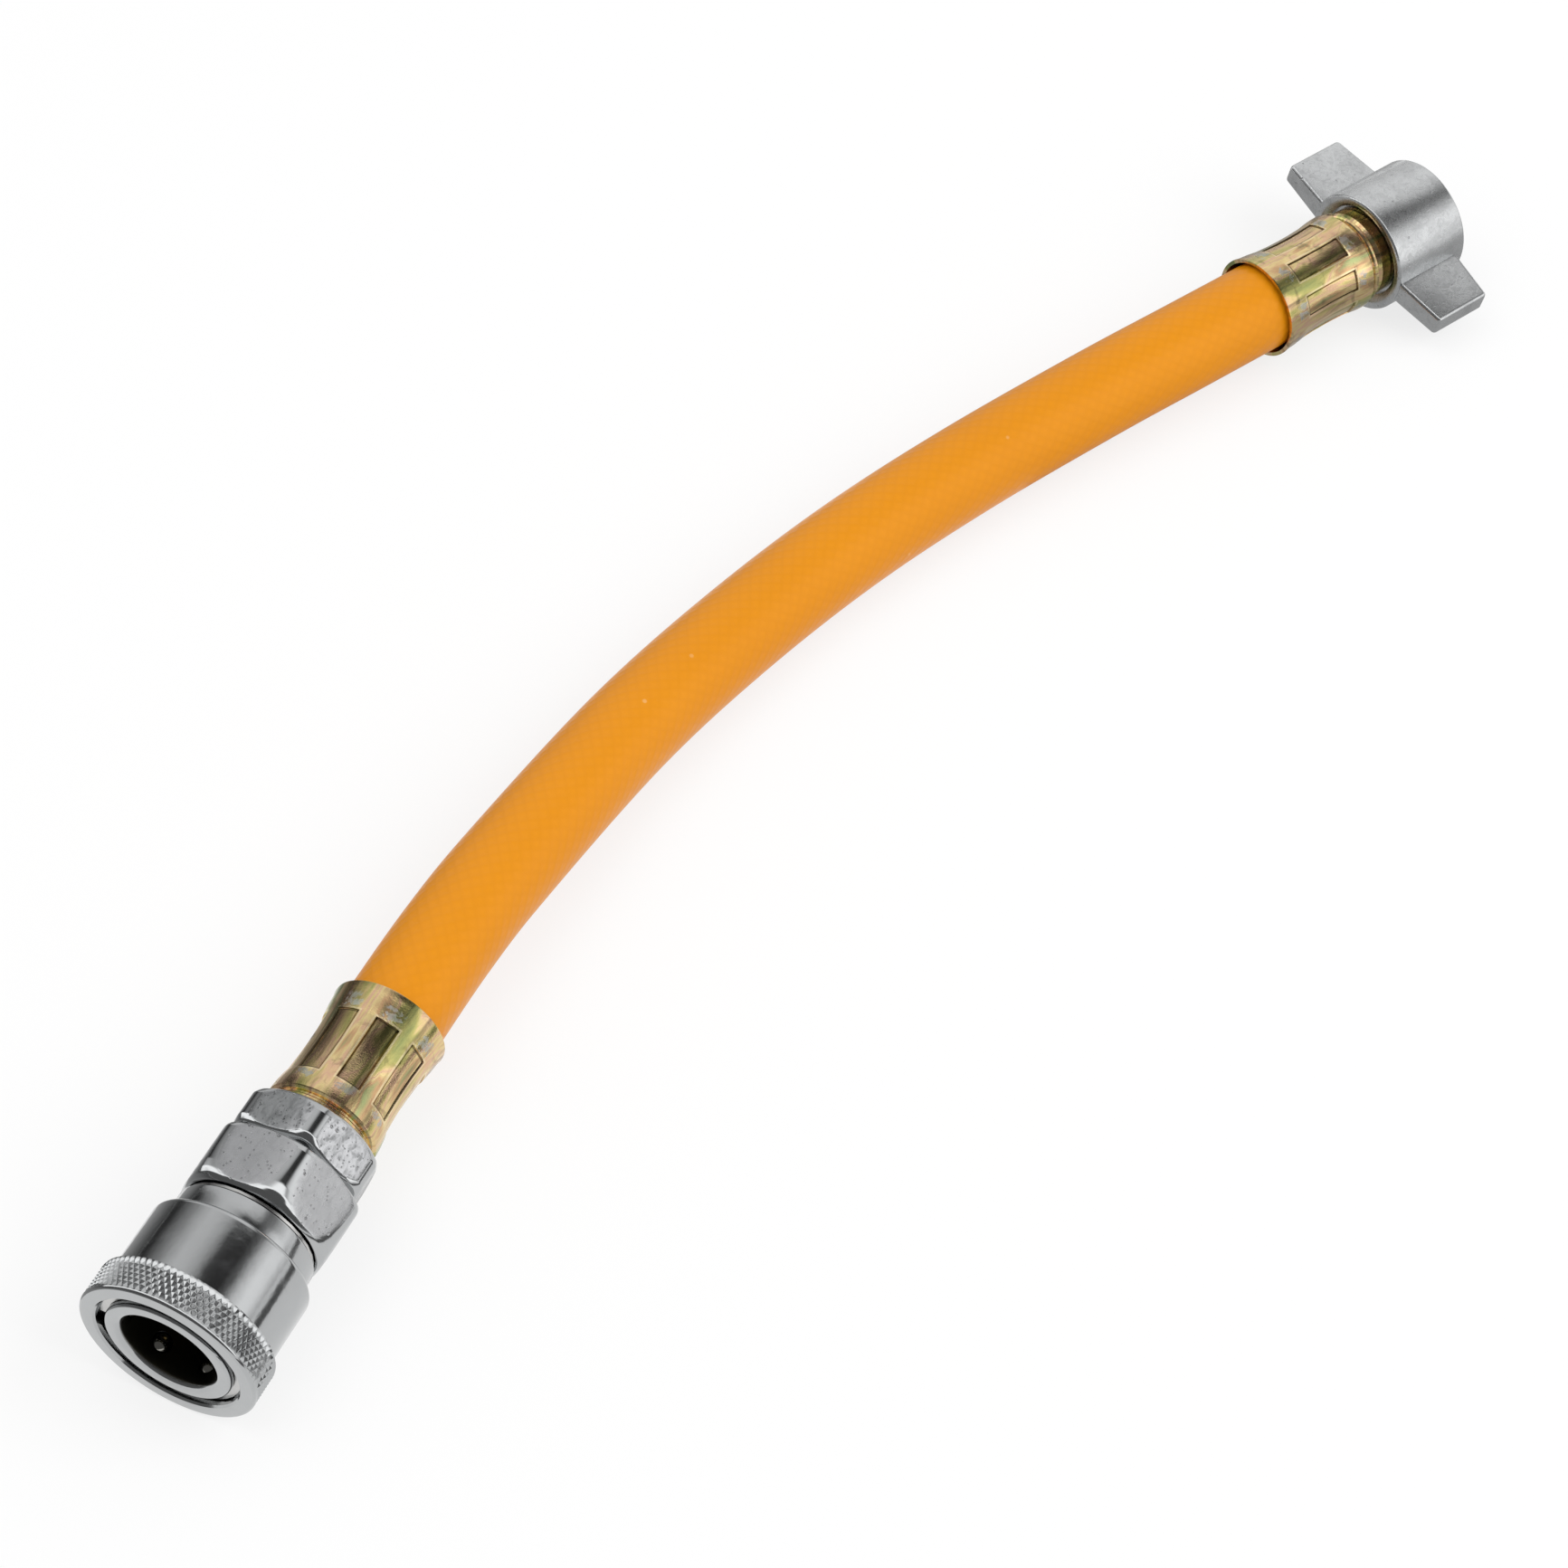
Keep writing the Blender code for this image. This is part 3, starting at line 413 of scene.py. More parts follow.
@dataclass(frozen=True)
class PolishedChrome:
    """Bright chrome plate with the faint waviness of polishing, and painted shade down the bore, where the
    plate is darkened nearly to black.
    """

    reflectance: Colour = (0.47, 0.48, 0.485)
    roughness: float = 0.12
    bore_shade_radius: float = 0.0
    bore_shade_colour: Colour = (0.045, 0.042, 0.03)

    def material(self, name: str, fitting: Fitting) -> bpy.types.Material:
        """Makes the plate for a piece on this fitting."""
        graph = Graph(name)
        at = fitting.turned(graph)
        smear = graph.noise(at.point, 0.35, 4.0)
        wave = graph.noise(at.point, 0.6, 2.0)
        plate = graph.mix(smear, tuple(0.9 * c for c in self.reflectance), self.reflectance)
        rough = smear.step(0.45, 0.8) * 0.08 + self.roughness
        # Painted shade: inside the given radius, down the bore, the plate is darkened nearly to black and
        # made rougher.
        if self.bore_shade_radius > 0.0:
            inside = 1.0 - at.radius.step(self.bore_shade_radius - 0.1, self.bore_shade_radius + 0.1)
            plate = graph.mix(inside, plate, self.bore_shade_colour)
            rough = rough + inside * 0.3
        return graph.surface(
            {
                "Base Color": plate,
                "Metallic": 1.0,
                "Roughness": rough,
                "Normal": graph.bump(wave, 0.02 * MM),
            }
        )


@dataclass(frozen=True)
class SatinChrome:
    """Chrome over a hexagon: satin on the milled flats, bright on the turned edges. Flats facing one angle
    are painted lighter as a painted highlight, and the others darker as painted shade.
    """

    flats_mm: float
    roll_deg: float
    # The first colour is the painted highlight on the flats facing the given angle; the second is painted
    # shade on the other flats and also the base of the pits' real stain.
    satin: Colour = (0.55, 0.555, 0.565)
    stain_and_shade: Colour = (0.42, 0.425, 0.435)
    bright: Colour = (0.47, 0.48, 0.485)
    roughness: float = 0.27
    pit_share: float = 0.12
    pit_depth: float = 0.12 * MM
    streak: float = 0.2
    lit_flat_deg: float = 144.8
    pit_shade: float = 0.55
    edge_roughness: float = 0.12

    def material(self, name: str, fitting: Fitting) -> bpy.types.Material:
        """Makes the plate for a hexagon on this fitting."""
        graph = Graph(name)
        at = fitting.turned(graph)
        milled = graph.on_flats(at, self.flats_mm, self.roll_deg)
        cloud = graph.noise(at.point, 0.3, 5.0)
        fine = graph.noise(at.point, 4.0, 3.0)
        streaks = graph.noise(graph.combine(at.station * 0.5, at.angle * 9.0, 0.0), 1.2, 5.0, 0.8)
        pits = graph.specks(at.point, 0.9, 0.3, self.pit_share)
        small = graph.specks(at.point, 2.1, 0.35, 1.5 * self.pit_share)
        worn = pits.most(small * 0.6)
        # Painted light and shade: the flats facing about the given angle take the lighter satin colour,
        # the others the darker one.
        lit_flat = (at.angle + math.radians(90.0 - self.lit_flat_deg)).sine().step(0.55, 0.9)
        flat = graph.mix(
            (worn * 0.4 + cloud * 0.3 + streaks.step(0.4, 0.75) * self.streak).least(1.0),
            graph.mix(lit_flat, self.stain_and_shade, self.satin),
            tuple(self.pit_shade * c for c in self.stain_and_shade),
        )
        height = fine * 0.1 + streaks * (0.6 * self.streak) - worn
        rougher = cloud * 0.12 + worn * 0.2 + (self.roughness - self.edge_roughness - 0.06)
        return graph.surface(
            {
                "Base Color": graph.mix(milled, self.bright, flat),
                "Metallic": 1.0,
                "Roughness": milled * rougher + self.edge_roughness,
                "Normal": graph.bump(height * milled, self.pit_depth),
            }
        )


@dataclass(frozen=True)
class YellowZinc:
    """Yellow passivated zinc: gold, copper and olive streaks along it, blue-grey where it rubs, painted
    shade in the panels' moats and a painted highlight along their ridges.
    """

    roughness: float = 0.15
    worn_stations: tuple[float, float] = (4.3, 18.3)
    streaks_round: float = 2.2
    panels: int = 8
    panel_half_mm: tuple[float, float] = (5.8, 2.06)
    panel_middle_mm: float = 11.0
    # A painted highlight for the panels' ridges, then the blue-grey of real rubbing, then a dark colour
    # for real grime that also paints shade into the panels' moats.
    ridge_highlight_colour: Colour = (0.9, 0.76, 0.48)
    blue_patch: Colour = (0.44, 0.51, 0.54)
    grime_and_shade: Colour = (0.13, 0.10, 0.055)
    bump_depth: float = 0.04 * MM
    film: tuple[tuple[float, Colour], ...] = (
        (0.05, (0.27, 0.31, 0.12)), (0.28, (0.52, 0.47, 0.17)), (0.42, (0.74, 0.57, 0.27)),
        (0.54, (0.72, 0.46, 0.30)), (0.66, (0.78, 0.62, 0.30)), (0.80, (0.60, 0.37, 0.20)),
        (0.95, (0.40, 0.43, 0.20)),
    )

    def material(self, name: str, fitting: Fitting, start: float, facing: float) -> bpy.types.Material:
        """Makes the plating of one ferrule.

        Args:
            name: The material's name.
            fitting: The fitting that the ferrule is on.
            start: The station of the ferrule's small end, in millimetres.
            facing: 1 if the ferrule opens along the axis, -1 if against it.

        Returns:
            The material.
        """
        graph = Graph(name)
        at = fitting.turned(graph)
        along = (at.station - start) * facing
        round_x = (at.angle + 0.5 * math.pi).sine() * self.streaks_round
        round_y = at.angle.sine() * self.streaks_round
        film = graph.noise(graph.combine(along * 0.06, round_x, round_y), 1.0, 4.0, 0.4)
        colour = graph.ramp(film.step(0.24, 0.76), self.film)
        low, high = self.worn_stations
        ends = (1.0 - abs(along - low).step(0.2, 1.8)).most(1.0 - abs(along - high).step(0.4, 2.2))
        phase = (at.angle * (self.panels / TURN)).fraction()
        across = abs(phase - 0.5) * (TURN / self.panels) * at.radius
        pressed = 1.0 - across.step(0.9, 2.8)
        worn = graph.noise(at.point, 0.8, 4.0, 1.0) + ends * pressed * 0.36
        patch = worn.step(0.74, 0.9)
        half_long, half_wide = self.panel_half_mm
        rim = (across - half_wide).most(abs(along - self.panel_middle_mm) - half_long)
        # Painted shade in each panel's pressed moat, and a painted highlight along the ridge just outside
        # it.
        groove = 1.0 - abs(rim + 0.3).step(0.04, 0.2)
        ridge_highlight = 1.0 - abs(rim - 0.06).step(0.04, 0.24)
        stain = graph.noise(at.point, 0.3, 5.0, 1.0).step(0.54, 0.7)
        lines = graph.noise(graph.combine(along * 0.1, round_x * 3.6, round_y * 3.6), 1.0, 5.0)
        fine = graph.noise(at.point, 5.0, 2.0)
        plated = graph.mix(patch * 0.6, graph.mix(ridge_highlight * 0.6, colour, self.ridge_highlight_colour), self.blue_patch)
        # Real stains and lengthwise streaks, joined by the painted shade in the moats.
        dirt_and_moat_shade = (stain * 0.4 + lines.step(0.5, 0.72) * 0.55).least(0.9).most(groove * 0.85)
        return graph.surface(
            {
                "Base Color": graph.mix(dirt_and_moat_shade, plated, self.grime_and_shade),
                "Metallic": 1.0,
                "Roughness": lines * 0.14 + patch * 0.15 + stain * 0.1 + (self.roughness - 0.06),
                "Normal": graph.bump(fine * 0.4 + lines, self.bump_depth),
            }
        )


@dataclass(frozen=True)
class DieCastZinc:
    """Tumbled zinc die casting: softly clouded and scuffed, with a few dark pits."""

    reflectance: Colour = (0.60, 0.61, 0.615)
    worn: Colour = (0.38, 0.385, 0.39)
    roughness: float = 0.25
    bump_depth: float = 0.035 * MM

    def material(self, name: str, fitting: Fitting) -> bpy.types.Material:
        """Makes the casting's skin."""
        graph = Graph(name)
        at = fitting.turned(graph)
        cloud = graph.noise(at.point, 0.28, 5.0, 0.6)
        scuff = graph.noise(at.point, 1.1, 5.0, 1.2)
        fine = graph.noise(at.point, 5.0, 2.0)
        pits = graph.specks(at.point, 0.8, 0.22, 0.2)
        height = scuff * 0.5 + fine * 0.05 - pits
        wear = (scuff.step(0.45, 0.72) * 0.35 + cloud.step(0.4, 0.7) * 0.3 + pits * 0.6).least(1.0)
        return graph.surface(
            {
                "Base Color": graph.mix(wear, self.reflectance, self.worn),
                "Metallic": 1.0,
                "Roughness": scuff * 0.2 + cloud * 0.1 + (self.roughness - 0.12),
                "Normal": graph.bump(height, self.bump_depth),
            }
        )


@dataclass(frozen=True)
class HosePvc:
    """Soft orange PVC, through whose skin the braid shows as a faint weave."""

    colour: Colour = (0.78, 0.285, 0.004)
    shade: Colour = (0.68, 0.235, 0.003)
    roughness: float = 0.33
    dust: Colour = (0.9, 0.62, 0.3)
    specular: float = 0.22
    bump_depth: float = 0.07 * MM
    strands: int = 22
    pitch_mm: float = 2.6

    def material(self, name: str) -> bpy.types.Material:
        """Makes the skin, on a UV map of millimetres along and turns round."""
        graph = Graph(name)
        along, round_ = graph.uv()
        spin = round_ * (TURN * self.strands)
        rise = along * (TURN / self.pitch_mm)
        left = (spin + rise).sine()
        right = (spin - rise).sine()
        weave = (left.most(right) + left * right * 0.3) * 0.5 + 0.5
        point = graph.place()
        cloud = graph.noise(point, 60.0, 4.0)
        fine = graph.noise(point, 900.0, 2.0)
        dust = graph.specks(point, 330.0, 0.16, 0.05)
        skin = graph.mix(cloud * 0.4 + weave * 0.22, self.colour, self.shade)
        height = weave * 0.7 + cloud * 1.2 + fine * 0.12
        return graph.surface(
            {
                "Base Color": graph.mix(dust * 0.5, skin, self.dust),
                "Roughness": fine * 0.06 + cloud * 0.08 + (self.roughness - 0.06),
                "Normal": graph.bump(height, self.bump_depth),
                "Specular IOR Level": self.specular,
            }
        )


@dataclass(frozen=True)
class PlainStock:
    """A small inner piece: steel, brass or rubber with a fine grain."""

    colour: Colour
    metallic: float
    roughness: float
    grain: float = 0.01 * MM

    def material(self, name: str, fitting: Fitting) -> bpy.types.Material:
        """Makes the stock's surface."""
        graph = Graph(name)
        at = fitting.turned(graph)
        lines = graph.noise(graph.combine(at.station, at.radius, 0.0), 3.0, 3.0)
        cloud = graph.noise(at.point, 0.8, 3.0)
        return graph.surface(
            {
                "Base Color": graph.mix(cloud * 0.35, self.colour, tuple(0.6 * c for c in self.colour)),
                "Metallic": self.metallic,
                "Roughness": lines * 0.12 + (self.roughness - 0.06),
                "Normal": graph.bump(lines, self.grain),
            }
        )


BRIGHT_STEEL = PlainStock((0.58, 0.575, 0.565), 1.0, 0.2)
# Oiled steel for the lock balls, darkened as painted shade for the bore that they sit in.
SHADED_OILED_STEEL = PlainStock((0.34, 0.33, 0.3), 1.0, 0.14)
TURNED_BRASS = PlainStock((0.68, 0.50, 0.22), 1.0, 0.26)
NITRILE = PlainStock((0.02, 0.02, 0.02), 0.0, 0.5)


# Modelling


class Bench:
    """The modelling steps that the pieces share."""

    @staticmethod
    def clear() -> None:
        """Leaves nothing selected, in Object mode."""
        if bpy.context.object and bpy.context.object.mode != "OBJECT":
            bpy.ops.object.mode_set(mode="OBJECT")
        bpy.ops.object.select_all(action="DESELECT")

    @staticmethod
    def activate(piece: Piece) -> None:
        """Selects this piece alone."""
        Bench.clear()
        piece.select_set(True)
        bpy.context.view_layer.objects.active = piece

    @staticmethod
    @contextmanager
    def editing(piece: Piece) -> Iterator[None]:
        """Edit mode on one piece."""
        Bench.activate(piece)
        bpy.ops.object.mode_set(mode="EDIT")
        yield
        bpy.ops.object.mode_set(mode="OBJECT")

    @staticmethod
    def named(name: str) -> Piece:
        """Names the primitive that was just added."""
        piece = bpy.context.object
        piece.name = name
        piece.data.name = name
        return piece

    @staticmethod
    def pick(piece: Piece, element: Element, wanted: Callable[[Vector, Vector], bool]) -> None:
        """Selects in edit mode by place and normal.

        Args:
            piece: The piece in edit mode.
            element: What to select.
            wanted: Tells from a centre and a normal whether it is selected.
        """
        bpy.ops.mesh.select_mode(type=element.value)
        bpy.ops.mesh.select_all(action="DESELECT")
        shape = bmesh.from_edit_mesh(piece.data)
        shape.normal_update()
        if element is Element.VERTS:
            found = [(v, v.co, v.normal) for v in shape.verts]
        elif element is Element.EDGES:
            found = [
                (e, (e.verts[0].co + e.verts[1].co) / 2, (e.verts[0].normal + e.verts[1].normal) / 2)
                for e in shape.edges
            ]
        else:
            found = [(f, f.calc_center_median(), f.normal) for f in shape.faces]
        for item, centre, normal in found:
            if wanted(centre, normal):
                item.select_set(True)
        bmesh.update_edit_mesh(piece.data)

    @staticmethod
    def turn(name: str, profile: Profile, steps: int = 96) -> Piece:
        """Draws a closed profile by extruding one vertex, and spins it about X.

        Args:
            name: The new piece's name.
            profile: Points as station and radius.
            steps: Faces round the piece.

        Returns:
            The turned piece, with its faces outwards.
        """
        Bench.clear()
        bpy.ops.mesh.primitive_plane_add(size=MM, location=(0.0, 0.0, 0.0))
        piece = Bench.named(name)
        with Bench.editing(piece):
            bpy.ops.mesh.select_mode(type="VERT")
            bpy.ops.mesh.select_all(action="SELECT")
            bpy.ops.mesh.merge(type="CENTER")
            bpy.ops.transform.translate(value=(profile[0][0], 0.0, profile[0][1]))
            for here, there in zip(profile, [*profile[1:], profile[0]]):
                move = (there[0] - here[0], 0.0, there[1] - here[1])
                bpy.ops.mesh.extrude_vertices_move(TRANSFORM_OT_translate={"value": move})
            bpy.ops.mesh.select_all(action="SELECT")
            bpy.ops.mesh.remove_doubles(threshold=1e-7)
            bpy.ops.mesh.spin(steps=steps, angle=TURN, center=(0.0, 0.0, 0.0), axis=(1.0, 0.0, 0.0))
            bpy.ops.mesh.select_all(action="SELECT")
            bpy.ops.mesh.remove_doubles(threshold=1e-7)
            bpy.ops.mesh.normals_make_consistent(inside=False)
        return piece

    @staticmethod
    def combine(piece: Piece, tool: Piece, join: Join) -> None:
        """Combines a piece with a tool by an exact Boolean, and removes the tool."""
        Bench.activate(piece)
        change = piece.modifiers.new("combine", "BOOLEAN")
        change.operation = join.value
        change.solver = "EXACT"
        change.object = tool
        bpy.ops.object.modifier_apply(modifier=change.name)
        bpy.data.objects.remove(tool, do_unlink=True)

    @staticmethod
    def arc(
        centre: tuple[float, float], radius: float, start_deg: float, sweep_deg: float, steps: int = 6
    ) -> Outline:
        """Points on an arc.

        Args:
            centre: The arc's centre, as station and radius.
            radius: The arc's own radius.
            start_deg: Where it starts, from the axis towards the outside.
            sweep_deg: How far it goes, less than 0 if it goes back.
            steps: Straight pieces in it.

        Returns:
            The points from its start to its end.
        """
        turns = (math.radians(start_deg + sweep_deg * i / steps) for i in range(steps + 1))
        return [(centre[0] + radius * math.cos(t), centre[1] + radius * math.sin(t)) for t in turns]

    @staticmethod
    def quarter(station: float, radius: float, inward: float, edge: float) -> Outline:
        """A quarter-round edge from an end face to the outside.

        Args:
            station: Where the end face lies.
            radius: The outside radius.
            inward: 1 if the piece lies behind the face, -1 if before it.
            edge: The rounding's size.

        Returns:
            Points from the face to the outside.
        """
        centre = (station + inward * edge, radius - edge)
        return Bench.arc(centre, edge, 90.0 + 90.0 * inward, -90.0 * inward)

    @staticmethod
    def finely(profile: Profile, step: float) -> Outline:
        """Adds points to a profile until none are further apart than a step."""
        points = []
        for here, there in zip(profile, [*profile[1:], profile[0]]):
            parts = max(1, math.ceil(math.dist(here, there) / step))
            for i in range(parts):
                share = i / parts
                points.append(tuple(a + share * (b - a) for a, b in zip(here, there)))
        return points

    @staticmethod
    def blend_down(first: float, second: float, width: float) -> float:
        """The smaller of two values, with the step between them rounded over a width."""
        overlap = max(width - abs(first - second), 0.0) / width
        return min(first, second) - 0.25 * width * overlap * overlap

    @staticmethod
    def mill(piece: Piece, span: tuple[float, float], flats: float, roll_deg: float, edge: float) -> None:
        """Mills six flats on a turned piece, with rounded edges.

        Args:
            piece: The turned piece, along X.
            span: The first and the last station of the flats.
            flats: The size across them.
            roll_deg: Where one of them faces, from Y towards Z.
            edge: How wide the rounding of their edges is.
        """
        sixth = math.pi / 3.0
        for vertex in piece.data.vertices:
            place = vertex.co
            radius = math.hypot(place.y, place.z)
            if not span[0] < place.x < span[1] or radius < 0.5 * flats - edge:
                continue
            turn = math.atan2(place.z, place.y) - math.radians(roll_deg)
            off = abs(turn - sixth * round(turn / sixth))
            corner = Bench.blend_down(
                0.5 * flats / math.cos(off), 0.5 * flats / math.cos(sixth - off), edge
            )
            milled = Bench.blend_down(radius, corner, edge)
            place.y *= milled / radius
            place.z *= milled / radius

    @staticmethod
    def smooth(piece: Piece, angle_deg: float = 28.0) -> None:
        """Shades smooth, apart from edges sharper than an angle."""
        Bench.activate(piece)
        bpy.ops.object.shade_smooth_by_angle(angle=math.radians(angle_deg))

    @staticmethod
    def copied(model: Piece, name: str) -> Piece:
        """Copies a modelled piece, with a mesh of its own."""
        piece = bpy.data.objects.new(name, model.data.copy())
        piece.data.name = name
        bpy.context.scene.collection.objects.link(piece)
        return piece

    @staticmethod
    def fix_place(piece: Piece) -> None:
        """Moves a piece's place and turn into its mesh."""
        Bench.activate(piece)
        bpy.ops.object.transform_apply(location=True, rotation=True, scale=True)

    @staticmethod
    def refined_copy(node: str) -> Piece:
        """Copies a node of the frame, merges its loose triangles and shades it smooth."""
        source = frame["nodes"][node]
        piece = bpy.data.objects.new(f"{node}_smooth", source.data.copy())
        bpy.context.scene.collection.objects.link(piece)
        piece.data.materials.clear()
        with Bench.editing(piece):
            bpy.ops.mesh.select_all(action="SELECT")
            bpy.ops.mesh.remove_doubles(threshold=1e-6)
        Bench.smooth(piece, 40.0)
        return piece

    @staticmethod
    def hand_over(piece: Piece, finish: bpy.types.Material, node: str, body: str, slot: str) -> None:
        """Gives a finished piece its material and its body, and hides the node that it stands for."""
        piece.data.materials.clear()
        piece.data.materials.append(finish)
        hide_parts(node)
        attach(piece, body)
        log.info("%s: %d faces on %s", piece.name, len(piece.data.polygons), body)


# The pieces


@dataclass(frozen=True)
class BarbedTail:
    """The tail that each stem pushes into the hose."""

    neck: float = 4.7 * MM
    crest: float = 3.8 * MM
    root: float = 3.3 * MM
    bore: float = 2.4 * MM
    barb: float = 3.6 * MM
    barbs: int = 5
    chamfer: float = 0.3 * MM

    def outline(self, end: float, start: float, way: float) -> Outline:
        """Draws it from the stem's end wall to the bore.

        Args:
            end: The station of the wall that the tail's neck stands on.
            start: The station of the first barb.
            way: 1 if the tail points along the axis, -1 if against it.

        Returns:
            The outline's points.
        """
        points = [(end, self.neck), (start, self.neck)]
        for i in range(self.barbs):
            points.append((start + way * i * self.barb, self.crest))
            points.append((start + way * (i + 1) * self.barb, self.root))
        points.append((start + way * (self.barbs * self.barb + self.chamfer), self.bore))
        return points


@dataclass
class Sleeve:
    """The release sleeve, with its diamond knurl cut into the ring."""

    length: float = 17.1 * MM
    radius: float = 12.5 * MM
    ring_radius: float = 13.75 * MM
    ring_width: float = 5.7 * MM
    edge: float = 0.5 * MM
    rear_edge: float = 0.9 * MM
    mouth_radius: float = 11.2 * MM
    ramp_start: float = 2.25 * MM
    ramp_radius: float = 10.54 * MM
    ramp_end: float = 4.2 * MM
    guide_radius: float = 10.05 * MM
    guide_end: float = 7.55 * MM
    wall: float = 1.2 * MM
    knurl_start: float = 0.8 * MM
    knurl_end: float = 5.2 * MM
    knurl_rows: int = 3
    knurl_count: int = 84
    knurl_depth: float = 0.27 * MM

    def build(self) -> None:
        """Models and dresses the sleeve."""
        cavity = self.radius - self.wall
        rows = 2 * self.knurl_rows
        band = [
            (self.knurl_start + (self.knurl_end - self.knurl_start) * i / rows, self.ring_radius)
            for i in range(rows, -1, -1)
        ]
        profile = [
            (0.0, self.mouth_radius + 0.3 * MM),
            (0.3 * MM, self.mouth_radius),
            (self.ramp_start, self.mouth_radius),
            (self.ramp_start, self.ramp_radius),
            (self.ramp_end, self.guide_radius),
            (self.guide_end, self.guide_radius),
            (self.guide_end, cavity),
            (self.length, cavity),
            *Bench.quarter(self.length, self.radius, -1.0, self.rear_edge),
            (self.ring_width + 0.15 * MM, self.radius),
            (self.ring_width, self.radius + 0.15 * MM),
            (self.ring_width, self.ring_radius - 0.45 * MM),
            (self.ring_width - 0.12 * MM, self.ring_radius - 0.1 * MM),
            *band,
            *reversed(Bench.quarter(0.0, self.ring_radius, 1.0, self.edge)),
        ]
        sleeve = Bench.turn("release_sleeve", profile, 2 * self.knurl_count)
        self.knurl(sleeve)
        Bench.smooth(sleeve, 24.0)
        COUPLER.place(sleeve)
        finish = PolishedChrome().material("chrome_sleeve", COUPLER)
        Bench.hand_over(sleeve, finish, "sleeve", "sleeve", "chrome")

    def knurl(self, sleeve: Piece) -> None:
        """Sinks every second vertex of the ring's band and joins the sunk ones into grooves."""
        pitch = (self.knurl_end - self.knurl_start) / (2 * self.knurl_rows)
        step = math.pi / self.knurl_count

        def in_groove(place: Vector, _normal: Vector) -> bool:
            row = (place.x - self.knurl_start) / pitch
            on_band = -0.2 < row < 2 * self.knurl_rows + 0.2
            outside = math.hypot(place.y, place.z) > self.ring_radius - 0.02 * MM
            column = math.atan2(place.y, place.z) / step
            return on_band and outside and (round(row) + round(column)) % 2 == 1

        shrink = (self.ring_radius - self.knurl_depth) / self.ring_radius
        with Bench.editing(sleeve):
            Bench.pick(sleeve, Element.VERTS, in_groove)
            bpy.ops.mesh.vert_connect()
            Bench.pick(sleeve, Element.VERTS, in_groove)
            bpy.ops.transform.resize(value=(1.0, shrink, shrink), center_override=(0.0, 0.0, 0.0))


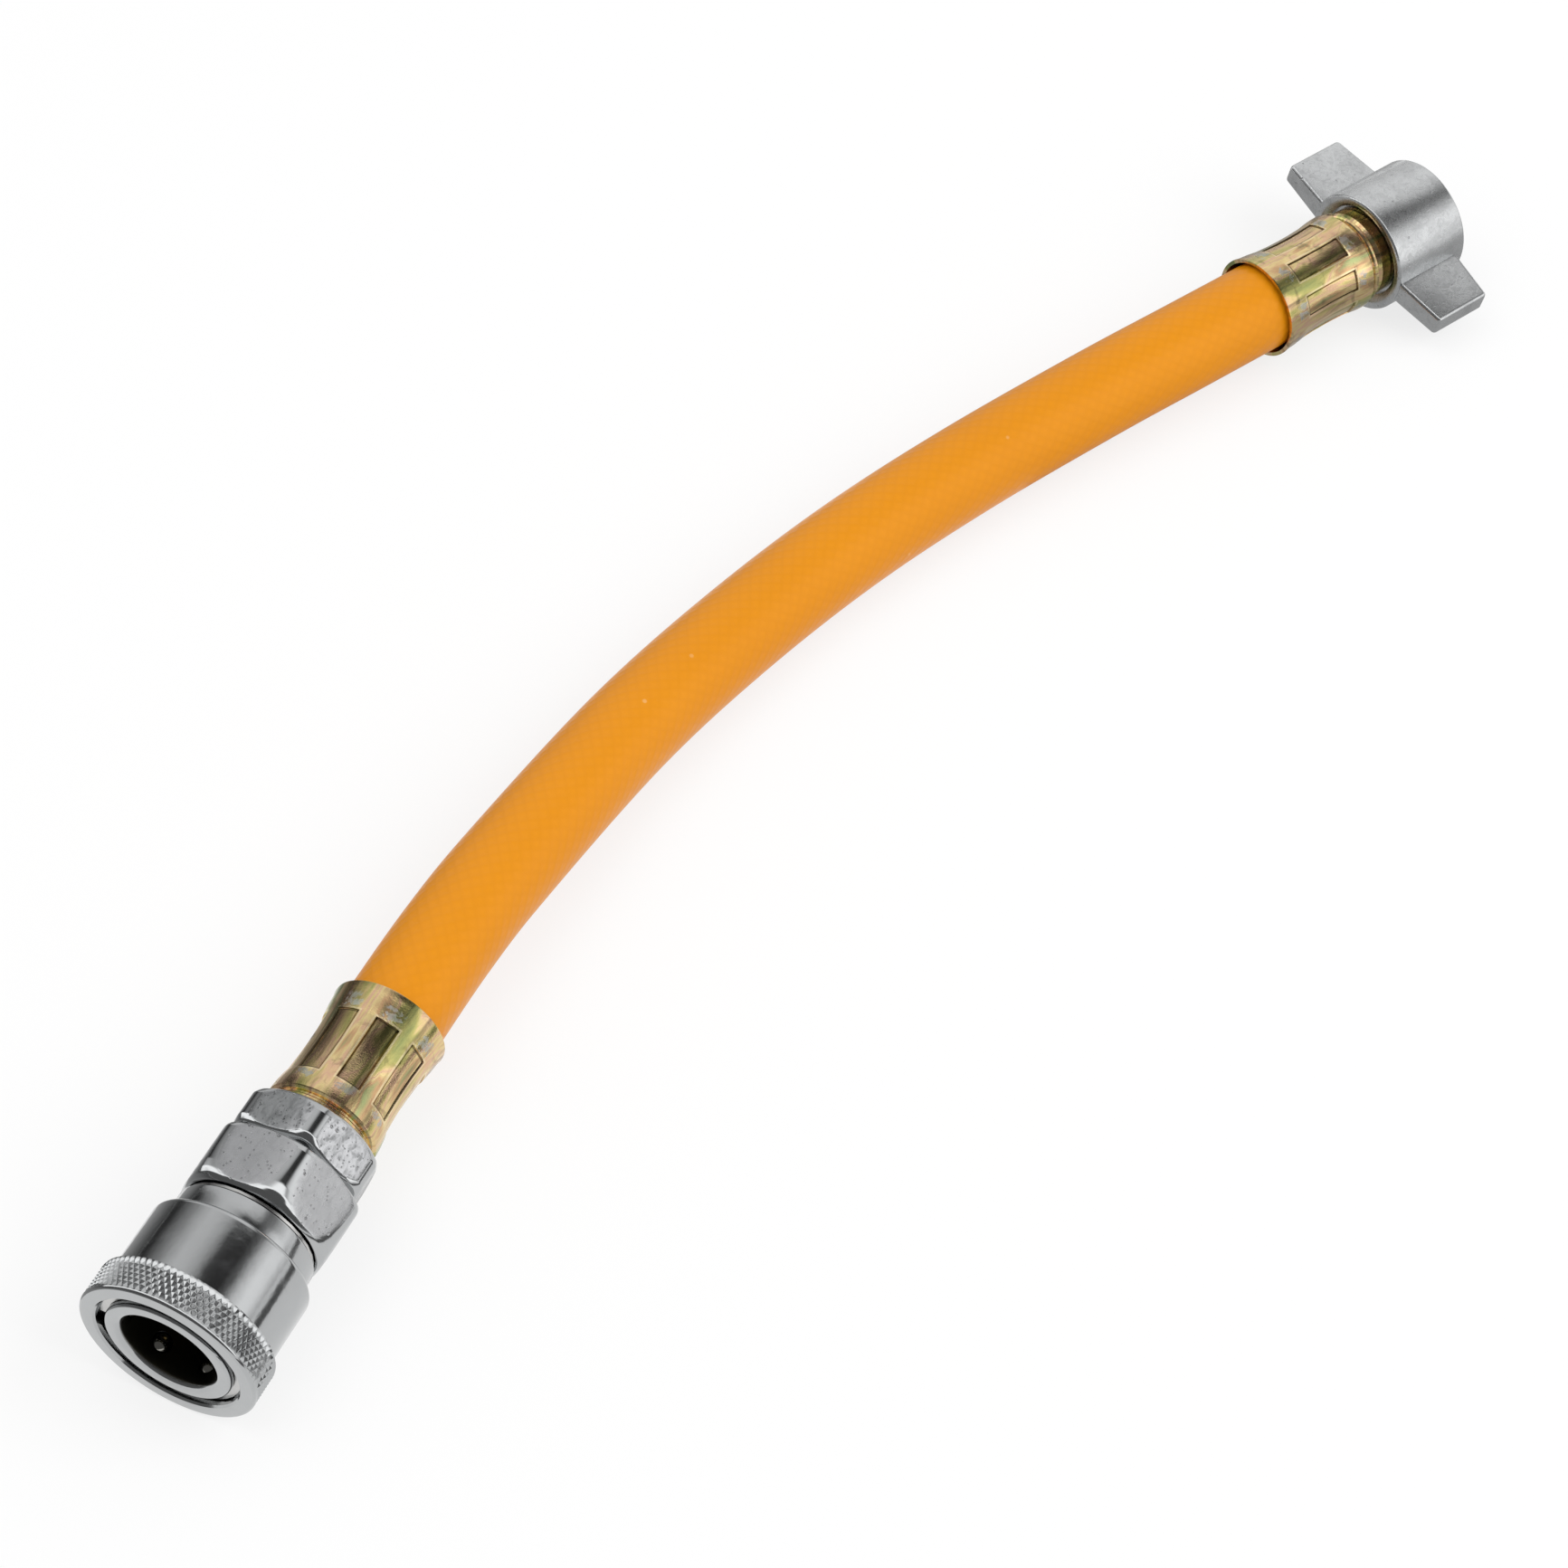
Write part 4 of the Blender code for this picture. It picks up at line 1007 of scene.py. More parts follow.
@dataclass
class Barrel:
    """The socket's barrel: its mouth, ball holes, snap-ring groove and neck."""

    front: float = 0.1 * MM
    radius: float = 9.9 * MM
    bore: float = 7.4 * MM
    lip_inside: float = 0.9 * MM
    lip_outside: float = 0.5 * MM
    neck_start: float = 16.6 * MM
    neck_radius: float = 10.8 * MM
    end: float = 20.8 * MM
    groove: tuple[float, float] = (1.0 * MM, 2.1 * MM)
    groove_radius: float = 9.1 * MM
    chamber: tuple[float, float] = (9.0 * MM, 12.0 * MM)
    chamber_radius: float = 8.4 * MM
    seat_radius: float = 5.2 * MM
    thread_start: float = 13.2 * MM
    thread_radius: float = 8.5 * MM
    ball_station: float = 4.2 * MM
    ball_radius: float = 1.6 * MM
    ball_centre: float = 8.25 * MM
    seat_grip: float = 0.18 * MM
    hole_play: float = 0.2 * MM
    first_ball_deg: float = -56.0
    ball_count: int = 6

    def build(self) -> None:
        """Models and dresses the barrel and its balls."""
        groove_start, groove_end = self.groove
        chamber_start, chamber_end = self.chamber
        profile = [
            *self.rim(),
            (groove_start, self.radius), (groove_start, self.groove_radius),
            (groove_end, self.groove_radius), (groove_end, self.radius),
            (self.neck_start, self.radius), (self.neck_start, self.neck_radius),
            (self.end - 0.4 * MM, self.neck_radius), (self.end - 0.1 * MM, self.neck_radius - 0.1 * MM),
            (self.end, self.neck_radius - 0.4 * MM), (self.end, self.thread_radius),
            (self.thread_start, self.thread_radius), (self.thread_start, self.seat_radius),
            (chamber_end, self.seat_radius), (chamber_end, self.chamber_radius),
            (chamber_start, self.chamber_radius), (chamber_start, self.bore),
        ]
        barrel = Bench.turn("socket_barrel", profile)
        for outward in self.ball_paths():
            Bench.combine(barrel, self.ball_hole(outward), Join.CUT)
        Bench.smooth(barrel, 26.0)
        COUPLER.place(barrel)
        # Painted shade: the barrel's plate is darkened inside a radius of 7.5 mm, down its bore.
        finish = PolishedChrome(bore_shade_radius=7.5).material("chrome_barrel", COUPLER)
        Bench.hand_over(barrel, finish, "coupler_barrel", "hose_body", "chrome")
        # The lock balls' steel is darkened as painted shade.
        steel = SHADED_OILED_STEEL.material("shaded_ball_steel", COUPLER)
        model = self.ball()
        seat = COUPLER.point(self.ball_station)
        for i, outward in enumerate(self.ball_paths(), 1):
            ball = Bench.copied(model, f"steel_ball_{i}")
            ball.location = seat + outward * self.ball_centre
            Bench.fix_place(ball)
            Bench.hand_over(ball, steel, f"lock_ball_{i}", f"lock_ball_{i}", "steel")
        bpy.data.objects.remove(model, do_unlink=True)

    def rim(self) -> Outline:
        """The mouth's rounded lip, from the bore over the front face to the outside."""
        centre = (self.front + self.lip_inside, self.bore + self.lip_inside)
        inner = Bench.arc(centre, self.lip_inside, 270.0, -90.0)
        return inner + Bench.quarter(self.front, self.radius, 1.0, self.lip_outside)

    def ball_paths(self) -> list[Vector]:
        """The ways from the axis to the balls, from Y towards Z."""
        first = math.radians(self.first_ball_deg)
        turns = (first + TURN * i / self.ball_count for i in range(self.ball_count))
        return [Vector((0.0, math.cos(turn), math.sin(turn))) for turn in turns]

    def ball_hole(self, outward: Vector) -> Piece:
        """A stepped cutter that lies along one ball's path."""
        seat = self.ball_radius - self.seat_grip
        hole = self.ball_radius + self.hole_play
        profile = (
            (self.bore - 0.5 * MM, 0.0), (self.bore - 0.5 * MM, seat), (self.ball_centre, hole),
            (self.radius + 0.5 * MM, hole), (self.radius + 0.5 * MM, 0.0),
        )
        cutter = Bench.turn("ball_hole", profile, 28)
        cutter.rotation_mode = "QUATERNION"
        cutter.rotation_quaternion = Vector((1.0, 0.0, 0.0)).rotation_difference(outward)
        cutter.location.x = self.ball_station
        return cutter

    def ball(self) -> Piece:
        """Spins one lock ball from a half circle."""
        half = Bench.arc((0.0, 0.0), self.ball_radius, 180.0, -180.0, 24)
        ball = Bench.turn("steel_ball", half, 48)
        Bench.smooth(ball, 60.0)
        return ball


@dataclass
class Hexagons:
    """The two hexagons behind the socket: the adapter's and the hose stem's."""

    adapter_front: float = 21.7 * MM
    adapter_end: float = 31.6 * MM
    adapter_flats: float = 22.0 * MM
    adapter_roll_deg: float = 84.8
    adapter_edge: float = 0.7 * MM
    turned_off: float = 0.3 * MM
    stem_front: float = 31.9 * MM
    stem_end: float = 39.0 * MM
    stem_flats: float = 20.3 * MM
    stem_roll_deg: float = 79.8
    stem_edge: float = 0.8 * MM
    tail_start: float = 41.0 * MM
    grid: float = 0.22 * MM
    steps_round: int = 360

    def build(self) -> None:
        """Models and dresses both."""
        self.adapter()
        self.stem()

    def adapter(self) -> None:
        """The front hexagon, with the spigot and the socket for the stem."""
        flat = 0.5 * self.adapter_flats
        corner = self.adapter_flats / math.sqrt(3.0) - self.turned_off
        rise = corner - flat
        front = self.adapter_front
        end = self.adapter_end
        outside = [
            (front, flat - 0.35 * MM), (front + 0.1 * MM, flat - 0.2 * MM),
            (front + 0.65 * MM, flat + 0.3 * rise), (front + 1.4 * MM, flat + 0.55 * rise),
            (front + 2.8 * MM, flat + 0.78 * rise), (front + 5.1 * MM, flat + 0.93 * rise),
            (front + 7.5 * MM, corner), (end - 1.3 * MM, corner), (end - 0.6 * MM, corner - 0.3 * rise),
            (end, flat),
        ]
        inside = [
            (end, 7.2 * MM), (end - 0.5 * MM, 6.7 * MM), (25.1 * MM, 6.7 * MM), (25.1 * MM, 3.4 * MM),
            (24.2 * MM, 3.4 * MM), (24.2 * MM, 5.0 * MM), (22.0 * MM, 5.0 * MM), (22.0 * MM, 7.0 * MM),
            (front - 4.5 * MM, 7.0 * MM), (front - 4.5 * MM, 7.8 * MM), (front - 4.1 * MM, 8.2 * MM),
            (front, 8.2 * MM),
        ]
        profile = [*self.outline(outside), *inside]
        adapter = Bench.turn("adapter_hexagon", profile, self.steps_round)
        span = (front - 0.01 * MM, end + 0.01 * MM)
        Bench.mill(adapter, span, self.adapter_flats, self.adapter_roll_deg, self.adapter_edge)
        Bench.smooth(adapter, 30.0)
        COUPLER.place(adapter)
        # The adapter's flat facing 144.8 degrees is painted lighter, as a painted highlight.
        finish = SatinChrome(self.adapter_flats / MM, self.adapter_roll_deg).material(
            "satin_adapter", COUPLER
        )
        Bench.hand_over(adapter, finish, "coupler_adapter", "hose_body", "satin")

    def outline(self, points: Profile) -> Outline:
        """An open outline with points close enough for the flats' edges."""
        closed = Bench.finely(points, self.grid)
        last = closed.index(tuple(points[-1]))
        return closed[: last + 1]

    def stem(self) -> None:
        """The rear hexagon, with its thread and its barbed tail."""
        flat = 0.5 * self.stem_flats
        corner = self.stem_flats / math.sqrt(3.0) - self.turned_off
        front, end = self.stem_front, self.stem_end
        outside = [
            (front, flat - 0.3 * MM), (front + 0.64 * MM, 0.5 * (flat + corner)),
            (front + 1.6 * MM, corner), (end - 1.6 * MM, corner), (end - 0.64 * MM, 0.5 * (flat + corner)),
            (end - 0.1 * MM, flat - 0.1 * MM), (end, flat - 0.4 * MM),
        ]
        before = [(25.4 * MM, 2.4 * MM), (25.4 * MM, 5.9 * MM), (25.9 * MM, 6.4 * MM), (front, 6.4 * MM)]
        behind = BarbedTail().outline(end, self.tail_start, 1.0)
        profile = [*before, *self.outline(outside), *behind]
        stem = Bench.turn("stem_hexagon", profile, self.steps_round)
        span = (front - 0.01 * MM, end + 0.01 * MM)
        Bench.mill(stem, span, self.stem_flats, self.stem_roll_deg, self.stem_edge)
        Bench.smooth(stem, 30.0)
        COUPLER.place(stem)
        # The stem's flat facing 139.8 degrees is painted much lighter than the others, as painted light
        # and shade; its pits and streaks are real wear.
        finish = SatinChrome(
            self.stem_flats / MM,
            self.stem_roll_deg,
            satin=(0.66, 0.665, 0.68),
            stain_and_shade=(0.36, 0.37, 0.375),
            roughness=0.3,
            pit_share=0.3,
            streak=0.7,
            lit_flat_deg=139.8,
        ).material("pitted_stem", COUPLER)
        Bench.hand_over(stem, finish, "coupler_stem", "hose_body", "stem")


@dataclass(frozen=True)
class Seat:
    """Where one ferrule goes: its small end's station, and 1 or -1 for the way that it opens."""

    name: str
    node: str
    fitting: Fitting
    start: float
    facing: float


@dataclass
class Ferrules:
    """The two crimped ferrules, drawn from the small end."""

    seats: tuple[Seat, ...]
    length: float = 21.4 * MM
    end_wall: float = 1.4 * MM
    crimp_start: float = 5.2 * MM
    crimp_end: float = 16.8 * MM
    dies: int = 8
    panel_share: float = 0.68
    panel_depth: float = 0.44 * MM
    insets: Profile = ((0.12, 0.0), (0.2, -1.0), (0.25, 0.5))
    hole: float = 5.0 * MM
    steps_per_die: int = 16

    def build(self) -> None:
        """Models one ferrule, then copies, places and dresses it at each seat."""
        model = self.shape()
        for seat in self.seats:
            ferrule = Bench.copied(model, seat.name)
            ferrule.rotation_euler.z = 0.5 * math.pi * (1.0 - seat.facing)
            ferrule.location.x = seat.start
            Bench.fix_place(ferrule)
            seat.fitting.place(ferrule)
            finish = YellowZinc().material(f"{seat.name}_zinc", seat.fitting, seat.start / MM, seat.facing)
            Bench.hand_over(ferrule, finish, seat.node, "hose_body", "ferrule")
        bpy.data.objects.remove(model, do_unlink=True)

    def shape(self) -> Piece:
        """Turns the sleeve-like blank and presses its panels in."""
        profile = [
            (0.0, self.hole), (0.0, 7.9 * MM), (0.12 * MM, 8.3 * MM), (0.35 * MM, 8.5 * MM),
            (0.75 * MM, 8.5 * MM), (1.0 * MM, 8.3 * MM), (1.1 * MM, 8.1 * MM), (1.4 * MM, 8.1 * MM),
            (1.6 * MM, 8.6 * MM), (1.9 * MM, 8.85 * MM), (2.6 * MM, 8.85 * MM), (3.6 * MM, 8.78 * MM),
            (self.crimp_start - 0.4 * MM, 8.62 * MM), (self.crimp_start, 8.56 * MM),
            (self.crimp_start + 0.25 * MM, 8.5 * MM), (8.5 * MM, 8.34 * MM), (11.0 * MM, 8.3 * MM),
            (13.5 * MM, 8.34 * MM), (self.crimp_end - 0.25 * MM, 8.5 * MM), (self.crimp_end, 8.54 * MM),
            (self.crimp_end + 0.5 * MM, 8.62 * MM), (18.6 * MM, 8.8 * MM), (20.4 * MM, 8.95 * MM),
            (21.1 * MM, 9.1 * MM), (self.length, 9.08 * MM), (self.length + 0.05 * MM, 8.85 * MM),
            (self.length, 8.45 * MM), (20.0 * MM, 8.05 * MM), (18.4 * MM, 7.95 * MM),
            (16.5 * MM, 7.15 * MM), (5.5 * MM, 7.15 * MM), (3.9 * MM, 7.95 * MM),
            (self.end_wall, 7.95 * MM), (self.end_wall, self.hole),
        ]
        ferrule = Bench.turn("ferrule_blank", profile, self.dies * self.steps_per_die)
        self.press(ferrule)
        Bench.smooth(ferrule, 30.0)
        return ferrule

    def press(self, ferrule: Piece) -> None:
        """Insets the eight panels and presses them in, deepest along their edges."""
        period = TURN / self.dies

        def under_die(place: Vector, normal: Vector) -> bool:
            turn = math.atan2(place.z, place.y) / period
            from_middle = abs(turn - round(turn - 0.5) - 0.5)
            outward = normal.y * place.y + normal.z * place.z > 0.0
            inside = self.crimp_start < place.x < self.crimp_end
            return inside and outward and from_middle < 0.5 * self.panel_share

        with Bench.editing(ferrule):
            Bench.pick(ferrule, Element.FACES, under_die)
            for thickness, depth in self.insets:
                bpy.ops.mesh.inset(thickness=thickness * MM, depth=depth * self.panel_depth)


@dataclass
class WingEnd:
    """The swivelling wing nut and the stem that carries it."""

    radius: float = 10.9 * MM
    length: float = 15.8 * MM
    edge: float = 0.5 * MM
    socket: float = 8.0 * MM
    recess: float = 8.4 * MM
    web_start: float = 1.8 * MM
    web_end: float = 4.0 * MM
    web_hole: float = 5.6 * MM
    recess_chamfer: float = 1.2 * MM
    reach: float = 20.2 * MM
    root_rear: float = 0.3 * MM
    root_front: float = 14.1 * MM
    tip_rear: float = 1.3 * MM
    tip_front: float = 12.9 * MM
    root_half: float = 2.3 * MM
    tip_half: float = 2.0 * MM
    roll_deg: float = 12.2
    wing_edge: float = 0.7 * MM
    thread_pitch: float = 1.5 * MM
    thread_depth: float = 0.8 * MM
    thread_turns: int = 4
    stem_face: float = -2.2 * MM
    tail_start: float = -3.9 * MM

    def build(self) -> None:
        """Models and dresses the nut and its stem."""
        self.nut()
        self.stem()

    def nut(self) -> None:
        """The turned barrel with its two wings."""
        edge = self.edge
        profile = [
            (self.web_start, self.web_hole),
            (self.web_start, self.recess),
            (self.recess_chamfer, self.recess),
            (0.15 * MM, self.recess + self.recess_chamfer - 0.15 * MM),
            (0.0, self.recess + self.recess_chamfer + 0.1 * MM),
            *Bench.quarter(0.0, self.radius, 1.0, edge),
            *reversed(Bench.quarter(self.length, self.radius, -1.0, edge)),
            (self.length, self.socket + self.thread_depth),
            *self.thread(),
            (self.web_end, self.socket),
            (self.web_end, self.web_hole),
        ]
        nut = Bench.turn("wing_nut_casting", profile)
        model = self.wing()
        for side in (0.0, math.pi):
            wing = Bench.copied(model, "placed_wing")
            wing.rotation_euler.x = math.radians(self.roll_deg) + side
            Bench.fix_place(wing)
            Bench.combine(nut, wing, Join.ADD)
        bpy.data.objects.remove(model, do_unlink=True)
        Bench.smooth(nut, 32.0)
        WING_END.place(nut)
        finish = DieCastZinc().material("die_cast_nut", WING_END)
        Bench.hand_over(nut, finish, "wing_nut", "wing_nut", "nut")

    def thread(self) -> Outline:
        """The socket's thread, as ridges from the mouth inwards."""
        first = self.length - self.thread_depth
        points = [(first, self.socket)]
        crest = self.socket - self.thread_depth
        for i in range(self.thread_turns):
            root = first - (i + 1) * self.thread_pitch
            points.append((root + 0.6 * self.thread_pitch, crest))
            points.append((root + 0.4 * self.thread_pitch, crest))
            points.append((root, self.socket))
        return points

    def wing(self) -> Piece:
        """One tapered wing with rounded edges, pointing along Y and reaching into the wall."""
        root = self.recess + self.recess_chamfer
        Bench.clear()
        bpy.ops.mesh.primitive_cube_add(size=1.0)
        wing = Bench.named("wing")
        with Bench.editing(wing):
            bpy.ops.mesh.select_all(action="SELECT")
            span = (self.root_front - self.root_rear, self.reach - root, 2.0 * self.root_half)
            bpy.ops.transform.resize(value=span)
            middle = (0.5 * (self.root_front + self.root_rear), 0.5 * (self.reach + root), 0.0)
            bpy.ops.transform.translate(value=middle)
            Bench.pick(wing, Element.FACES, lambda place, normal: normal.y > 0.9)
            taper = (self.tip_front - self.tip_rear) / span[0]
            thin = self.tip_half / self.root_half
            bpy.ops.transform.resize(value=(taper, 1.0, thin))
            shift = 0.5 * (self.tip_front + self.tip_rear) - middle[0]
            bpy.ops.transform.translate(value=(shift, 0.0, 0.0))
            Bench.pick(wing, Element.EDGES, lambda place, normal: place.y > root + 0.5 * MM)
            bpy.ops.mesh.bevel(offset=self.wing_edge, segments=6, affect="EDGES")
        return wing

    def stem(self) -> None:
        """The collar, neck, head and barbed tail."""
        face = self.stem_face
        profile = [
            (7.5 * MM, 2.4 * MM), (7.5 * MM, 6.4 * MM), (6.9 * MM, 7.0 * MM), (5.5 * MM, 7.0 * MM),
            (5.5 * MM, 5.3 * MM), (1.5 * MM, 5.3 * MM), (1.5 * MM, 7.9 * MM), (face + 1.1 * MM, 7.9 * MM),
            (face + 0.5 * MM, 7.6 * MM), (face + 0.3 * MM, 7.1 * MM),
            *BarbedTail().outline(face + 0.3 * MM, self.tail_start, -1.0),
        ]
        stem = Bench.turn("swivel_stem", profile)
        Bench.smooth(stem, 26.0)
        WING_END.place(stem)
        finish = YellowZinc().material("swivel_stem_zinc", WING_END, face / MM, -1.0)
        Bench.hand_over(stem, finish, "wing_stem", "hose_body", "ferrule")


@dataclass
class Hose:
    """The hose, on one smooth line from tail to tail."""

    radius: float = 7.75 * MM
    wall: float = 2.75 * MM
    samples: int = 84
    sides: int = 64
    route: tuple[tuple[float, float, float], ...] = (
        (78.0, 0.0, 13.4), (95.0, -0.7, 12.2), (128.5, -3.7, 9.3), (155.5, -9.3, 7.95),
        (181.0, -17.5, 7.9), (205.0, -27.9, 8.3), (229.5, -41.0, 9.6), (247.0, -51.1, 10.6),
    )
    ferrule_start: float = 39.3 * MM
    wing_ferrule_start: float = -2.2 * MM

    def build(self) -> None:
        line = self.centreline()
        hose = self.tube(line)
        Bench.hand_over(hose, HosePvc().material("orange_pvc"), "hose", "hose_body", "hose")
        free = self.free_line()
        length = sum((b - a).length for a, b in zip(free, free[1:]))
        whole = sum((b - a).length for (a, _), (b, _) in zip(line, line[1:]))
        log.info("hose: %.1f mm free, %.1f mm in all", length / MM, whole / MM)
        2.0 * self.radius

    def squeezed(self) -> tuple[tuple[float, float], ...]:
        """Distance from a ferrule's small end and the hose's radius there."""
        gripped = 6.8 * MM
        free = self.radius
        return (
            (2.0 * MM, free - 0.15 * MM), (3.5 * MM, free - 0.15 * MM), (4.9 * MM, gripped),
            (17.1 * MM, gripped), (19.1 * MM, free - 0.1 * MM), (20.9 * MM, free),
        )

    def free_line(self) -> list[Vector]:
        """The smooth free stretch, between the two ferrules' mouths."""
        floor = Vector((COUPLER.origin.x, COUPLER.origin.y, 0.0))
        points = [floor + Vector(point) * MM for point in self.route]
        last = self.squeezed()[-1][0]
        points.insert(0, COUPLER.point(self.ferrule_start + last))
        points.append(WING_END.point(self.wing_ferrule_start - last))
        tangents = [
            0.5 * (points[min(i + 1, len(points) - 1)] - points[max(i - 1, 0)])
            for i in range(len(points))
        ]
        tangents[0] = COUPLER.axis * (points[1] - points[0]).length
        tangents[-1] = WING_END.axis * (points[-1] - points[-2]).length
        line = []
        for step in range(self.samples + 1):
            place = step / self.samples * (len(points) - 1)
            i = min(int(place), len(points) - 2)
            t = place - i
            line.append(
                (2 * t**3 - 3 * t**2 + 1) * points[i]
                + (t**3 - 2 * t**2 + t) * tangents[i]
                + (3 * t**2 - 2 * t**3) * points[i + 1]
                + (t**3 - t**2) * tangents[i + 1]
            )
        return line

    def centreline(self) -> list[tuple[Vector, float]]:
        """Every point of the hose with its radius, from end to end."""
        near = [(COUPLER.point(self.ferrule_start + d), r) for d, r in self.squeezed()]
        far = [(WING_END.point(self.wing_ferrule_start - d), r) for d, r in reversed(self.squeezed())]
        return near + [(point, self.radius) for point in self.free_line()[1:-1]] + far

    def tube(self, line: Sequence[tuple[Vector, float]]) -> Piece:
        """Draws the hose's skin along its line and thickens it inwards to the bore.

        Args:
            line: Points of the centreline, each with the radius there.

        Returns:
            The hose, with a UV map of millimetres along and turns round.
        """
        shape = bmesh.new()
        layer = shape.loops.layers.uv.new("UVMap")
        rings: list[tuple[float, list[bmesh.types.BMVert]]] = []
        distance = 0.0
        for i, (centre, radius) in enumerate(line):
            before = line[max(i - 1, 0)][0]
            after = line[min(i + 1, len(line) - 1)][0]
            ahead = (after - before).normalized()
            side = Vector((0.0, 0.0, 1.0)).cross(ahead).normalized()
            up = ahead.cross(side)
            distance += (centre - before).length
            rings.append((distance / MM, self.ring(shape, centre, side, up, radius)))
        for first, second in zip(rings, rings[1:]):
            for k in range(self.sides):
                following = (k + 1) % self.sides
                face = shape.faces.new(
                    (first[1][k], first[1][following], second[1][following], second[1][k])
                )
                corners = ((first[0], k), (first[0], k + 1), (second[0], k + 1), (second[0], k))
                for loop, (along, turn) in zip(face.loops, corners):
                    loop[layer].uv = (along, turn / self.sides)
        bmesh.ops.recalc_face_normals(shape, faces=shape.faces)
        mesh = bpy.data.meshes.new("orange_hose")
        shape.to_mesh(mesh)
        shape.free()
        hose = bpy.data.objects.new("orange_hose", mesh)
        bpy.context.scene.collection.objects.link(hose)
        Bench.activate(hose)
        bore = hose.modifiers.new("bore", "SOLIDIFY")
        bore.thickness = self.wall
        bore.offset = -1.0
        bpy.ops.object.modifier_apply(modifier=bore.name)
        Bench.smooth(hose, 40.0)
        return hose

    def ring(
        self, shape: bmesh.types.BMesh, centre: Vector, side: Vector, up: Vector, radius: float
    ) -> list[bmesh.types.BMVert]:
        """One ring of vertices across the line."""
        turns = (TURN * k / self.sides for k in range(self.sides))
        return [
            shape.verts.new(centre + radius * (math.cos(turn) * side + math.sin(turn) * up))
            for turn in turns
        ]


@dataclass
class InnerPieces:
    """Small pieces that keep the frame's mesh, smoothed where they show."""

    sleeve_spring_seat: float = 16.3 * MM
    valve_spring_seat: float = 23.9 * MM

    def build(self) -> None:
        """Dresses them all."""
        steel = BRIGHT_STEEL.material("spring_steel", COUPLER)
        brass = TURNED_BRASS.material("valve_brass", COUPLER)
        rubber = NITRILE.material("nitrile_rubber", COUPLER)
        flat_rubber = NITRILE.material("nitrile_washer", WING_END)
        for node, body, finish, slot in (
            ("snap_ring", "sleeve_turn", steel, "steel"), ("valve_poppet", "valve", brass, "brass"),
            ("valve_seal", "valve", rubber, "rubber"), ("plug_seal", "hose_body", rubber, "rubber"),
            ("body_gasket", "hose_body", steel, "steel"),
            ("wing_gasket", "hose_body", flat_rubber, "rubber"),
        ):
            Bench.hand_over(Bench.refined_copy(node), finish, node, body, slot)
        self.spring("sleeve_spring", "sleeve_turn", steel, "sleeve_slide", self.sleeve_spring_seat)
        self.spring("valve_spring", "hose_body", steel, "valve_slide", self.valve_spring_seat)

    @staticmethod
    def spring(node: str, body: str, steel: bpy.types.Material, joint: str, seat: float) -> None:
        """Dresses one spring and gives it a mesh of its own.

        Args:
            node: The spring's node.
            body: The body that carries its seat.
            steel: Its material.
            joint: The joint that presses it.
            seat: The station of its fixed end.
        """
        piece = Bench.refined_copy(node)
        Bench.hand_over(piece, steel, node, body, "steel")
        low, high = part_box(node)
        left = 1.0 - joint_named(joint)["range_m"][1] / (high[0] - low[0])
        COUPLER.point(seat)
        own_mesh(piece)


@dataclass(frozen=True)
class Card:
    """A grey card on the floor that fades away from its first edge, as painted shade of the floor in
    reflections.
    """

    name: str
    x_range: tuple[float, float]
    y_range: tuple[float, float]
    near: float
    far: float
    fade: float = 18.0


